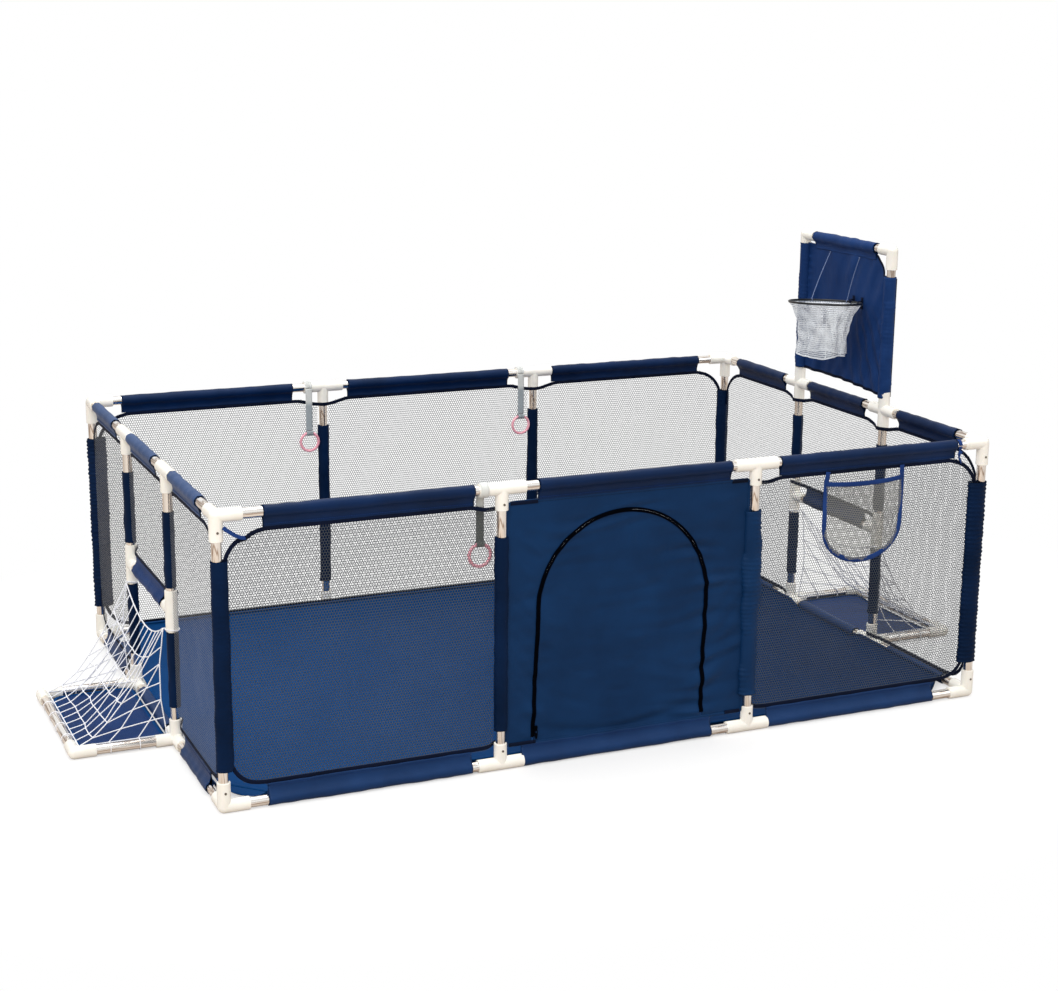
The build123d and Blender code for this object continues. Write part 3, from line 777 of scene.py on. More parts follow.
def netting_walls():
    """Netting and its binding in all four walls."""
    over_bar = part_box("crossbar_casings")[1].z + 1.5 * MM
    long_edges = [-HALF_X, -TEE_X, TEE_X, HALF_X]
    end_edges = [-HALF_Y, -GOAL_Y, GOAL_Y, HALF_Y]
    walls = (("netting_front", -1, long_wall, long_edges), ("netting_back", 1, long_wall, long_edges),
             ("netting_left", -1, end_wall, end_edges), ("netting_right", 1, end_wall, end_edges))
    for seed, (node, sign, wall, edges) in enumerate(walls):
        tape = Shape()
        face = (0, sign, 0) if wall is long_wall else (sign, 0, 0)
        for number, (a, b) in enumerate(zip(edges, edges[1:])):
            middle = number == 1
            if middle and node == "netting_front":
                continue
            low = over_bar if middle and wall is end_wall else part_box(node)[0].z
            left = number == 0
            right = number == 2
            top = TOP_CUT if node == "netting_front" else EVEN_CUT
            cuts = (LOW_CUT if left else TEE_CUT, LOW_CUT if right else TEE_CUT,
                    EVEN_CUT if right else TEE_DIP, top if left else TEE_DIP)
            outline = bay_outline(a + SIDE_GAP, b - SIDE_GAP, low, NET_TOP, cuts)
            sizes = np.cumsum([len(cut) for cut in cuts])
            bottom = outline[:sizes[1]]
            roof = outline[sizes[1]:]
            chains = []
            for chain, turn, inset in ((bottom, 1, 3 * MM), (roof[::-1], -1, -3 * MM)):
                chain = [(u, v + inset) for u, v in chain]
                first = (a, chain[0][1]) if not left else (chain[0][0], chain[0][1] + turn * EDGE_REACH)
                last = (b, chain[-1][1]) if not right else (chain[-1][0], chain[-1][1] + turn * EDGE_REACH)
                chains.append([first] + chain + [last])
            posts = [x for x, side in ((a, left), (b, right)) if not side]
            shape = Shape()
            netting_bay(shape, tape, outline, chains, lambda u, v, d: wall(u, v, d, sign), face,
                        seed * 7 + number, posts)
            make(shape, f"{node}_bay_{number + 1}", "wall_netting", node, slot="wall_netting", smooth=False)
        make(tape, node + "_binding", "binding")


def corner_ties():
    """Blue ribbons that hold the netting's top front corners to the rails.

    Their points are (along the rail, down, out) in millimetres from the corner.
    """
    shape = Shape()
    for sign in (-1, 1):
        start = [(13, 24, 9), (20, 30, 11), (36, 42, 10), (50, 49, 6), (61, 52, 1)]
        if sign > 0:
            start = [(72, 12, 13.5), (76, 20, 13), (73, 30, 9), (66, 37, 5), (60, 44, 1)]
        path = [(sign * (HALF_X - a * MM), -HALF_Y - d * MM, TOP_Z - b * MM) for a, b, d in start]
        path = resample(np.array(path), 3 * MM)
        add_tape(shape, path, (0, -0.8, 0.6), 9 * MM, 1.4 * MM)
        if sign > 0:
            angle = np.linspace(0.2, TURN, 22)
            radius = 12.4 * MM
            loop = [(HALF_X - 72 * MM, -HALF_Y - math.cos(a) * radius, TOP_Z - math.sin(a) * radius)
                    for a in angle]
            add_tape(shape, np.array(loop), np.array([(0, -math.cos(a), -math.sin(a)) for a in angle]),
                     9 * MM, 1.2 * MM)
    make(shape, "corner_tie_ribbons", "blue_binding")


# =====================================================================
# casings
# =====================================================================

def teardrop(radius, tail):
    """Section of a rail sleeve: a round top that closes into a flat tail with a rolled hem.

    Points are (across, down).
    """
    open_angle = math.radians(38)
    angle = np.linspace(open_angle, TURN - open_angle, 27)
    arc = np.stack([np.sin(angle) * radius, np.cos(angle) * radius], 1)
    flat = 1.1 * MM
    start = arc[0]
    fall = np.array([0.18, 0.38, 0.6, 0.82, 0.93, 1.0])
    width = np.array([0.52, 0.2, 0.03, 0.0, 0.35, 0.25])
    down = start[1] + (tail - start[1]) * fall
    across = flat + (start[0] - flat) * np.where(fall < 0.8, width, 0) + np.where(fall > 0.9, 0.7 * MM, 0)
    side = np.stack([across, down], 1)
    bottom = np.array([[flat * 0.7, tail + 0.9 * MM], [-flat * 0.7, tail + 0.9 * MM]])
    mirrored = side * (-1, 1)
    return np.vstack([arc, mirrored, bottom[::-1], side[::-1]])


def add_sleeve(shape, start, end, down, seed, profile, gather=0.0, loose=0.5 * MM, step=5 * MM):
    """A cloth sleeve along a straight tube, wrinkled and gathered at its ends."""
    run = np.linalg.norm(end - start)
    rows = max(6, int(run / step))
    along = unit(end - start)
    across = np.cross(along, down)
    s = np.linspace(0, run, rows)
    columns = len(profile)
    centre = profile.mean(0)
    outward = unit(profile - centre * (0, 0.25))
    around = np.arange(columns) / columns
    grid_s, grid_a = grid(s, around)
    wrinkle = ripple(grid_s, grid_a * 0.12, seed, 0.05, 0.7) * loose
    wrinkle += ripple(grid_s, grid_a * 0.05, seed + 11, 0.2, 1.0) * loose * 0.8
    if gather:
        beat = ripple(grid_s, grid_a * 0.06, seed + 23, 0.013, 0.25, 7)
        rib = np.sin(grid_s * TURN / (10.5 * MM) + 1.6 * ripple(grid_s, grid_a * 0.05, seed + 31, 0.12))
        wrinkle += gather * (0.35 * np.abs(beat) + 0.5 * rib) - gather * 0.1
    edge = np.minimum(grid_s, run - grid_s)
    frill = np.exp(-edge / (7 * MM))
    wrinkle += frill * (0.9 * MM * np.cos(grid_a * TURN * 9 + seed) - 0.3 * MM)
    wrinkle = np.maximum(wrinkle, -0.7 * MM)
    offset = profile[None] + outward[None] * wrinkle[..., None]
    points = start + along * s[:, None, None] + across * offset[..., :1] + down * offset[..., 1:2]
    points[..., 2] = np.maximum(points[..., 2], 0.2 * MM)
    size = np.concatenate([[0], np.cumsum(np.linalg.norm(np.diff(profile, axis=0), axis=1))])
    uv = np.stack(grid(s, size), -1)
    hem = 1.2 * MM
    inner = points[[0, -1]] - (outward[None] * hem) @ np.array([across, down])
    inner[0] += along * 6 * MM
    inner[1] -= along * 6 * MM
    points = np.concatenate([inner[:1], points, inner[1:]])
    uv = np.concatenate([uv[:1], uv, uv[-1:]])
    shape.add(points, grid_quads(rows + 2, columns, False, True), uv)


def add_stitches(shape, start, end, out):
    """A row of short raised stitches along a straight line."""
    step = 4 * MM
    length = 2.6 * MM
    run = np.linalg.norm(end - start)
    along = unit(end - start)
    across = np.cross(along, out)
    profile = [(-0.5, -0.4), (-0.25, 0.0), (0.25, 0.0), (0.5, -0.4)]
    size = 0.45 * MM
    for at in np.arange(step, run - step, step):
        rows = []
        for offset, lift in profile:
            centre = start + along * (at + offset * length) + out * lift * MM
            rows.append([centre + across * size * c + out * size * s
                         for c, s in ((1, 0), (0, 1), (-1, 0), (0, -1))])
        shape.add(np.array(rows), grid_quads(4, 4, False, True))


# where the sleeves start and end along each wall, in millimetres from its middle
CASING_SPANS = {
    "top front": ((-838, -376), (-227, 247), (374, 855)),
    "top back": ((-858, -398), (-242, 232), (368, 840)),
    "top left": ((-502, -262), (-96, 158), (321, 550)),
    "top right": ((-525, -277), (-119, 146), (277, 535)),
    "bottom front": ((-841, -381), (-262, 214), (363, 828)),
    "bottom back": ((-846, -390), (-250, 236), (380, 846)),
    "bottom left": ((-520, -296), (-140, 128), (300, 536)),
    "bottom right": ((-530, -290), (-132, 140), (296, 528)),
}


def rail_casings():
    """Sleeves on the top and bottom rails, with a stitched hem."""
    for level, down_sign in (("top", -1), ("bottom", 1)):
        node = level + "_rail_casings"
        shape = Shape()
        pale = Shape()
        stitches = Shape()
        tail = TAIL if level == "top" else TAIL + 4 * MM
        down = AXES[2] * down_sign
        height = TOP_Z if level == "top" else BOTTOM_Z
        for seed, wall in enumerate(("front", "back", "left", "right")):
            axis = 0 if wall in ("front", "back") else 1
            sign = -1 if wall in ("front", "left") else 1
            place = np.array((sign * HALF_X, sign * HALF_Y, height))
            for number, (low, high) in enumerate(CASING_SPANS[f"{level} {wall}"]):
                start, end = place.copy(), place.copy()
                start[axis] = low * MM
                end[axis] = high * MM
                plain = level == "bottom" and (sign > 0 or axis == 1 and number == 1)
                section = round_profile(SLEEVE_R, 36)[:, ::-1] if plain else teardrop(SLEEVE_R, tail)
                # painted light: the top left sleeves go into a lighter copy of the casing cloth
                light = level == "top" and wall == "left"
                add_sleeve(pale if light else shape, start, end, down, seed * 17 + number * 3 + 1, section)
                if not plain:
                    out = AXES[1 - axis] * sign
                    row = down * (tail - 5 * MM) + out * 1.9 * MM
                    add_stitches(stitches, start + row, end + row, out)
        # painted light: the bottom sleeves take a lighter copy of the casing cloth
        make(shape, node + "_cloth", "navy_cloth" if level == "top" else "lit_low_cloth", node)
        if pale.count:
            make(pale, node + "_painted_light_cloth", "lit_left_cloth")
        make(stitches, node + "_stitches", "blue_binding")


def oval(half_wide, half_thick, shift=0.0):
    """Section of a post sleeve; shift moves it towards the netting side."""
    angle = np.arange(32) * TURN / 32
    return np.stack([np.cos(angle) * half_thick, np.sin(angle) * half_wide + shift], 1)


def post_casings():
    """Sleeves on the upright posts; the one at the door's free side is of the door's cloth."""
    shape = Shape()
    door_side = Shape()
    for number, box in enumerate(islands("post_casings")):
        start, end = centre_line(box, 2)
        x, y = start[:2]
        on_side = abs(abs(y) - HALF_Y) < MM
        # sleeves under the goals' connectors reach up to them; wall posts' sleeves hang lower
        if end[2] < CROSSBAR_Z:
            end[2] += 4 * MM
        if on_side:
            start[2] -= 14 * MM
            end[2] -= 3 * MM if abs(x) > TEE_X + MM else 15 * MM
        on_end = abs(abs(x) - HALF_X) < MM
        down = AXES[0] if on_side else AXES[1]
        gather = 0.0
        loose = 0.6 * MM
        section = oval(15.5 * MM, SLEEVE_R)
        if on_end and on_side:
            down = AXES[0] * -np.sign(x)
            section = oval(18.5 * MM, SLEEVE_R + 0.4 * MM, 4.5 * MM)
            gather = 0.5 * MM
            if x * y < 0:
                section = oval(24 * MM, SLEEVE_R + 1.2 * MM, 9 * MM)
                gather = 2.4 * MM
        door_post = on_side and not on_end and y < 0 < x
        if door_post:
            section = oval(21 * MM, SLEEVE_R + 2 * MM, -3 * MM)
            loose = 3.0 * MM
            gather = 1.3 * MM
        target = door_side if door_post else shape
        add_sleeve(target, start, end, down, number * 5 + 2, section, gather, loose, 2.6 * MM)
    # the posts' sleeves take the darker cloth copy: painted shade
    make(shape, "post_casings_cloth", "shaded_post_cloth", "post_casings")
    make(door_side, "door_post_casing_cloth", "door_cloth")


# =====================================================================
# simulated cloth sheets
# =====================================================================

class Sheet:
    """How far a hung cloth stands out of its flat plane, sampled on a grid."""

    def __init__(self, low, high, depth):
        self.low = np.array(low)
        self.high = np.array(high)
        self.depth = depth

    def at(self, u, v):
        """Depth at points (u, v), read smoothly between grid points."""
        rows, columns = self.depth.shape
        x = clamp((u - self.low[0]) / (self.high[0] - self.low[0])) * (rows - 1)
        y = clamp((v - self.low[1]) / (self.high[1] - self.low[1])) * (columns - 1)
        i = np.minimum(x.astype(int), rows - 2)
        j = np.minimum(y.astype(int), columns - 2)
        a = x - i
        b = y - j
        a = a * a * (3 - 2 * a)
        b = b * b * (3 - 2 * b)
        d = self.depth
        return ((d[i, j] * (1 - a) + d[i + 1, j] * a) * (1 - b)
                + (d[i, j + 1] * (1 - a) + d[i + 1, j + 1] * a) * b)


def hang_cloth(low, high, spare, seed, cap, free_bottom=False):
    """Simulate a cloth a little too big for the edges it is sewn to, and return its Sheet.

    spare is how much larger the cloth is than its frame, across and up; cap is how far a point may move.
    """
    cell = 8 * MM
    frames = 28
    rows = int((high[0] - low[0]) / cell) + 1
    columns = int((high[1] - low[1]) / cell) + 1
    u, v = grid(np.linspace(low[0], high[0], rows), np.linspace(low[1], high[1], columns))
    start = 1.2 * MM * ripple(u, v, seed, 0.11, 2.2)
    t = (u - low[0]) / (high[0] - low[0])
    s = (v - low[1]) / (high[1] - low[1])
    start = start * clamp(14 * t * (1 - t)) * clamp(14 * s * (1 - s))
    points = np.stack([u, start, v], -1)
    cloth = mesh_object("hang", points, grid_quads(rows, columns), MATERIALS["navy_cloth"])
    cloth.shape_key_add(name="Basis")
    rest = cloth.shape_key_add(name="spare")
    middle = (np.array(low) + np.array(high)) / 2
    wide = points.copy()
    wide[..., 0] = middle[0] + (u - middle[0]) * (1 + spare[0])
    wide[..., 2] = middle[1] + (v - middle[1]) * (1 + spare[1])
    rest.data.foreach_set("co", wide.ravel())
    rest.value = 0.0
    pins = cloth.vertex_groups.new(name="pins")
    index = np.arange(rows * columns).reshape(rows, columns)
    edge = set(index[0]) | set(index[-1]) | set(index[:, -1])
    if not free_bottom:
        edge |= set(index[:, 0])
    pins.add([int(k) for k in edge], 1.0, "REPLACE")
    modifier = cloth.modifiers.new("hang", "CLOTH")
    settings = {"quality": 8, "mass": 0.12, "tension_stiffness": 12, "compression_stiffness": 12,
                "shear_stiffness": 6, "bending_stiffness": 0.35, "air_damping": 2.0,
                "vertex_group_mass": "pins", "rest_shape_key": rest}
    for key, value in settings.items():
        setattr(modifier.settings, key, value)
    modifier.collision_settings.use_collision = False
    modifier.point_cache.frame_start = 1
    modifier.point_cache.frame_end = frames
    scene = bpy.context.scene
    for number in range(1, frames + 1):
        scene.frame_set(number)
    settled = cloth.evaluated_get(bpy.context.evaluated_depsgraph_get()).to_mesh()
    co = np.zeros(rows * columns * 3)
    settled.vertices.foreach_get("co", co)
    depth = np.clip(co.reshape(rows, columns, 3)[..., 1], -cap, cap)
    bpy.data.objects.remove(cloth)
    scene.frame_set(1)
    return Sheet(low, high, depth)


# =====================================================================
# door
# =====================================================================

DOOR_HALF = 210 * MM
DOOR_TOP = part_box("door_flap")[1].z
DOOR_X = (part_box("door_flap")[0].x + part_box("door_flap")[1].x) / 2
FLAP_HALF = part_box("door_flap")[1].x - DOOR_X
SPRING_Z = DOOR_TOP - FLAP_HALF
ZIP_R = (DOOR_HALF + FLAP_HALF) / 2
DOOR_HINGE_Z = JOINTS["door_fold"]["pos_m"][2]
BAY = (-TEE_X + SIDE_GAP, TEE_X - SIDE_GAP, NET_LOW, NET_TOP)


def front_point(u, v, depth):
    """World points of the front wall; depth is outwards."""
    return long_wall(u, v, depth, -1)


def door_lean(u, v):
    """The cloth hangs a little out of true: the legs of the zip drift outwards at the foot."""
    low = clamp((SPRING_Z + 0.10 - v) / 0.40)
    inside = clamp((TEE_X - 0.02 - np.abs(u)) / 0.08)
    side = np.clip((u - DOOR_X) / DOOR_HALF, -1.2, 1.2)
    wave = 1.2 * MM * np.sin(v / 0.047 + 1.0)
    drift = np.where(side < 0, 13 * MM * side * low ** 1.4, -3 * MM * side * low ** 1.4)
    settled = clamp((v - DOOR_HINGE_Z) / 0.04)
    return u + inside * (drift + wave * np.abs(side) * settled)


def door_folds(u, v):
    """Wrinkles across the door: level creases, denser by the zip and the right post.

    One fold slants down from the bay's top left corner.
    """
    x = u - DOOR_X
    beyond = np.where(v > SPRING_Z, np.hypot(x, v - SPRING_Z), np.abs(x))
    zip_near = hump(beyond - ZIP_R, 34 * MM)
    right = clamp((x - 0.02) / 0.2)
    amount = 0.4 + 0.9 * zip_near + 0.8 * right - 0.85 * hump(beyond - ZIP_R, 10 * MM)
    warp = v + 10 * MM * ripple(u, v, 207, 0.24)
    level = ripple(u * 0.16, warp, 203, 0.034, 1.0, 12)
    broad = ripple(u * 0.25, warp, 211, 0.085, 1.0, 7)
    crease = np.sign(level) * np.abs(level) ** 1.35
    aside = u + TEE_X - 0.03
    above = v - 0.535
    slant = aside * 0.62 + above * 0.78
    along = aside * 0.78 - above * 0.62
    fold = 2.2 * MM * hump(slant, 7 * MM) * hump(along - 0.05, 0.05)
    pinned = clamp((0.30 - np.abs(u)) / 0.02) * clamp((NET_TOP - v) / 0.03)
    pinned = pinned * clamp((v - NET_LOW + 0.01) / 0.03)
    return pinned * (amount * (1.3 * MM * crease + 1.5 * MM * broad) + 1.3 * fold)


def arch_points(radius, low, step=5 * MM):
    """Points (u, v) up the left leg, over the arch and down the right leg."""
    legs = max(2, int((SPRING_Z - low) / step))
    left = np.stack([np.full(legs, -radius), np.linspace(low, SPRING_Z, legs, endpoint=False)], 1)
    turns = int(math.pi * ZIP_R / step)
    angle = np.linspace(math.pi, 0, turns)
    top = np.stack([np.cos(angle) * radius, SPRING_Z + np.sin(angle) * radius], 1)
    right = left[::-1] * (-1, 1)
    return np.vstack([left, top, right]) + (DOOR_X, 0)


def door_depth(sheet, u, v):
    """How far the door's cloth stands out at (u, v)."""
    return sheet.at(u, v) + door_folds(u, v)


def door_surround(sheet):
    """The cloth of the door bay outside the arch."""
    low = BAY[2]
    inner = arch_points(DOOR_HALF - 0.5 * MM, low, 4 * MM)
    outer = inner.copy()
    centre = np.array([DOOR_X, SPRING_Z])
    for k, (u, v) in enumerate(inner):
        side = BAY[1] if u > DOOR_X else BAY[0]
        if v <= SPRING_Z + 1e-9:
            outer[k] = (side, v)
            continue
        ray = np.array([u, v]) - centre
        grow = min((side - DOOR_X) / ray[0] if abs(ray[0]) > 1e-6 else 1e9, (BAY[3] - SPRING_Z) / ray[1])
        outer[k] = centre + ray * grow
    steps = np.linspace(0, 1, 30)[None, :, None]
    grid = inner[:, None] * (1 - steps) + outer[:, None] * steps
    shape = Shape()
    u, v = grid[..., 0], grid[..., 1]
    shape.add(front_point(door_lean(u, v), v, door_depth(sheet, u, v)), grid_quads(*u.shape), grid)
    make(shape, "door_panel_cloth", "door_cloth", "door_panel", thick=CLOTH)


def door_flap(sheet):
    """The arched flap; its foot is sewn to the panel under the bottom casing."""
    low = DOOR_HINGE_Z - 9 * MM
    legs = np.arange(low, SPRING_Z, 4 * MM)
    turn = np.linspace(0, math.pi / 2 - 0.012, 96)
    radius = FLAP_HALF + 0.5 * MM
    heights = np.concatenate([legs, SPRING_Z + radius * np.sin(turn)])
    widths = np.concatenate([np.full(len(legs), radius), radius * np.cos(turn)])
    across = np.linspace(-1, 1, 101)
    u = DOOR_X + widths[:, None] * across[None]
    v = np.repeat(heights[:, None], len(across), 1)
    shape = Shape()
    shape.add(front_point(door_lean(u, v), v, door_depth(sheet, u, v)), grid_quads(*u.shape),
              np.stack([u, v], -1))
    piece = make(shape, "door_flap_cloth", "door_cloth", "door_flap", body=None, thick=CLOTH)
    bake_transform(piece)


TOOTH_PITCH = 3.4 * MM


def zip_halves(sheet):
    """Zip tape and teeth, half on the panel and half on the flap."""
    low = DOOR_HINGE_Z + 6 * MM
    for side, body, tooth_shift in ((1, "frame", 0), (-1, "door_flap", 1)):
        tapes = Shape()
        teeth = Shape()
        for offset, width, lift in ((2.6 * MM, 4.8 * MM, 1.2 * MM), (4.6 * MM, 1.0 * MM, 1.7 * MM)):
            u, v = arch_points(ZIP_R + side * offset, low).T
            path = front_point(door_lean(u, v), v, door_depth(sheet, u, v) + lift)
            add_tape(tapes, path, (0, -1, 0), width, 1.0 * MM)
        u, v = arch_points(ZIP_R + side * 0.55 * MM, low).T
        path = front_point(door_lean(u, v), v, door_depth(sheet, u, v) + 1.9 * MM)
        path = resample(path, TOOTH_PITCH / 2)[tooth_shift::2]
        along = tangents(path)
        out = np.array((0, -1.0, 0))
        across = unit(np.cross(along, out))
        size = np.array([(-1.5, -0.6), (-1.5, 0.5), (1.2, 0.8), (1.7, 0.0), (1.2, -0.6)]) * MM
        for point, a, c in zip(path, along, across):
            rows = [point + a * s * 0.75 * MM + c * size[:, :1] * side + out * size[:, 1:] * t
                    for s, t in ((-1, 0.7), (-0.5, 1.0), (0.5, 1.0), (1, 0.7))]
            teeth.add(np.array(rows), grid_quads(4, 5, False, True))
            base = teeth.count - 20
            teeth.quads.append(np.array([[base, base + 1, base + 2, base + 4],
                                         [base + 15, base + 16, base + 17, base + 19]]))
        name = "panel" if side > 0 else "flap"
        make(tapes, f"zip_tape_{name}", "zip_tape", body=body, slot="black_trim")
        make(teeth, f"zip_teeth_{name}", "black_plastic", body=body, slot="black_trim")


def zip_slider(sheet):
    """A moulded slider with a bridge and a pull tab."""
    low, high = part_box("zip_slider")
    x = (low.x + high.x) / 2
    y = -HALF_Y - 3.0 * MM - float(door_depth(sheet, np.array([x]), np.array([high.z]))[0])
    top = high.z
    shape = Shape()
    body = [(0, 3.1, 1.0), (1.0, 4.2, 1.5), (4, 4.4, 1.8), (8, 3.6, 1.8), (11, 3.0, 1.5), (12.5, 2.0, 0.9)]
    rows = []
    for down, half, thick in body:
        ring = tape_profile(2 * half * MM, 2 * thick * MM)
        rows.append([(x + a, y - b, top - down * MM) for a, b in ring])
    shape.add(np.array(rows), grid_quads(len(rows), 10, False, True))
    angle = np.linspace(-0.2, math.pi + 0.2, 14)
    bridge = [(x, y - 1.2 * MM - math.sin(a) * 3.0 * MM, top - 5.5 * MM - math.cos(a) * 3.2 * MM)
              for a in angle]
    add_cord(shape, bridge, 0.9 * MM, 8)
    turn = np.linspace(0, TURN, 41)[:-1]
    tab = [(x + math.sin(a) * 2.6 * MM * (1 + 0.25 * math.cos(a)), y - 3.4 * MM,
            top - 18 * MM + math.cos(a) * 11.5 * MM) for a in turn]
    add_tape(shape, tab, (0, -1, 0), 1.7 * MM, 1.4 * MM, closed=True)
    grip = [(x, y - 3.4 * MM, top - z * MM) for z in np.linspace(16, 28, 8)]
    add_tape(shape, grip, (0, -1, 0), 4.6 * MM, 1.5 * MM)
    make(shape, "zip_slider_moulded", "black_plastic", "zip_slider", body="zip_slider", slot="black_trim")


def door_binding():
    """Hem round the edge of the door bay, with a dark tape in the gaps beside the connectors."""
    tape = Shape()
    outline = bay_outline(*BAY, [TEE_CUT] * 4)
    points = resample(np.array([(u, v, 0) for u, v in outline] + [(*outline[0], 0)]), 9 * MM)[:-1]
    path = front_point(points[:, 0], points[:, 1], np.full(len(points), 0.6 * MM))
    add_tape(tape, path, (0, -1, 0), 7 * MM, 1.8 * MM, closed=True)
    make(tape, "door_panel_hem", "door_cloth")
    dark = Shape()
    for side, reach in ((-1, 84 * MM), (1, 60 * MM)):
        for edge in (BAY[2] + 2 * MM, BAY[3] - 2 * MM):
            u = side * (TEE_X - np.linspace(20 * MM, reach, 12))
            path = front_point(u, np.full(12, edge), np.full(12, 1.4 * MM))
            add_tape(dark, path, (0, -1, 0), 8 * MM, 2.0 * MM)
    make(dark, "door_panel_binding", "binding")


def door():
    """Everything in the door bay."""
    sheet = hang_cloth((BAY[0], BAY[2]), (BAY[1], BAY[3]), (0.004, 0.013), 5, 6 * MM)
    door_surround(sheet)
    door_flap(sheet)
    zip_halves(sheet)
    zip_slider(sheet)
    door_binding()


# =====================================================================
# floor cloths
# =====================================================================

def mouth_level(x, y):
    """How far the mat's edge is drawn up: less in the goal mouths, more at the back."""
    mouth = clamp((GOAL_Y - 0.03 - np.abs(y)) / 0.05) * clamp((np.abs(x) - HALF_X + 0.16) / 0.05)
    return 1 - 0.75 * mouth + 0.35 * clamp((y - 0.54) / 0.04)


def floor_sheet(shape, tape, low, high, cut, seed, rise, step):
    """A cloth on the floor, its edge drawn up to the rails and bound with tape; cut is its corners' size."""
    lift = 1.2 * MM
    rows = int((high[0] - low[0]) / step)
    columns = int((high[1] - low[1]) / step)
    x, y = grid(np.linspace(low[0], high[0], rows), np.linspace(low[1], high[1], columns))
    middle = (np.array(low) + np.array(high)) / 2
    half = (np.array(high) - np.array(low)) / 2
    over = np.abs(x - middle[0]) + np.abs(y - middle[1]) - (half.sum() - cut)
    fix = np.maximum(over, 0) / 2
    x = x - np.sign(x - middle[0]) * fix
    y = y - np.sign(y - middle[1]) * fix
    edge = np.minimum.reduce([half[0] - np.abs(x - middle[0]), half[1] - np.abs(y - middle[1])])
    z = lift + rise * mouth_level(x, y) * np.exp(-np.maximum(edge, 0) / (13 * MM))
    z = z + 1.1 * MM * (1 + ripple(x, y, seed, 0.35)) * clamp(edge / (40 * MM))
    near = np.exp(-edge / (70 * MM)) * clamp(edge / (9 * MM))
    z = z + 0.7 * MM * (1 + ripple(x, y, seed + 4, 0.07, 0.4)) * near
    shape.add(np.stack([x, y, z], -1), grid_quads(rows, columns), np.stack([x, y], -1))
    rim = [(low[0] + cut, low[1]), (high[0] - cut, low[1]),
           (high[0], low[1] + cut), (high[0], high[1] - cut),
           (high[0] - cut, high[1]), (low[0] + cut, high[1]),
           (low[0], high[1] - cut), (low[0], low[1] + cut)]
    line = resample(np.array([(a, b, lift) for a, b in rim + rim[:1]]), 12 * MM)[:-1]
    line[:, 2] += rise * mouth_level(line[:, 0], line[:, 1])
    add_tape(tape, line, (0, 0, 1), 9 * MM, 2.2 * MM, closed=True)


def floor_cloths():
    """The mat and the two goal floors."""
    mat = Shape()
    tape = Shape()
    low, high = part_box("floor_mat")
    floor_sheet(mat, tape, low[:2], high[:2], 78 * MM, 31, 24 * MM, 12 * MM)
    make(mat, "floor_mat_cloth", "mat_cloth", "floor_mat", slot="mat_cloth", thick=1.6 * MM)
    goal = Shape()
    for number, (low, high) in enumerate(islands("goal_floor_cloths")):
        floor_sheet(goal, tape, low[:2], high[:2], 16 * MM, 41 + number, 6 * MM, 7 * MM)
    make(goal, "goal_floor_cloth", "board_cloth", "goal_floor_cloths", slot="mat_cloth", thick=1.4 * MM)
    make(tape, "floor_binding", "mat_cloth")


def crossbar_casings():
    """Sleeves on the goal crossbars, with the tail up to the netting."""
    for number, box in enumerate(islands("crossbar_casings")):
        shape = Shape()
        start, end = centre_line(box, 1)
        start[2] = end[2] = CROSSBAR_Z
        add_sleeve(shape, start, end, AXES[2], 71 + number, teardrop(SLEEVE_R, TAIL), loose=0.7 * MM)
        # painted light: the left sleeve takes the lighter board cloth, the right one the darker navy cloth
        if start[0] < 0:
            make(shape, "crossbar_casing_left", "board_cloth", "crossbar_casings")
        else:
            make(shape, "crossbar_casing_right", "navy_cloth")


# =====================================================================
# goals
# =====================================================================

CORD_R = 1.3 * MM
KNOT_R = CORD_R * 1.7
GOAL_COLUMNS = 10
GOAL_ROWS = 6
SIDE_COLUMNS = 3
NET_CLEAR = 18 * MM


def knotted(knots):
    """A cord drawn nearly straight from knot to knot."""
    path = resample(np.array(knots), 7 * MM)
    path[1:-1] = (path[:-2] + 2 * path[1:-1] + path[2:]) / 4
    return path


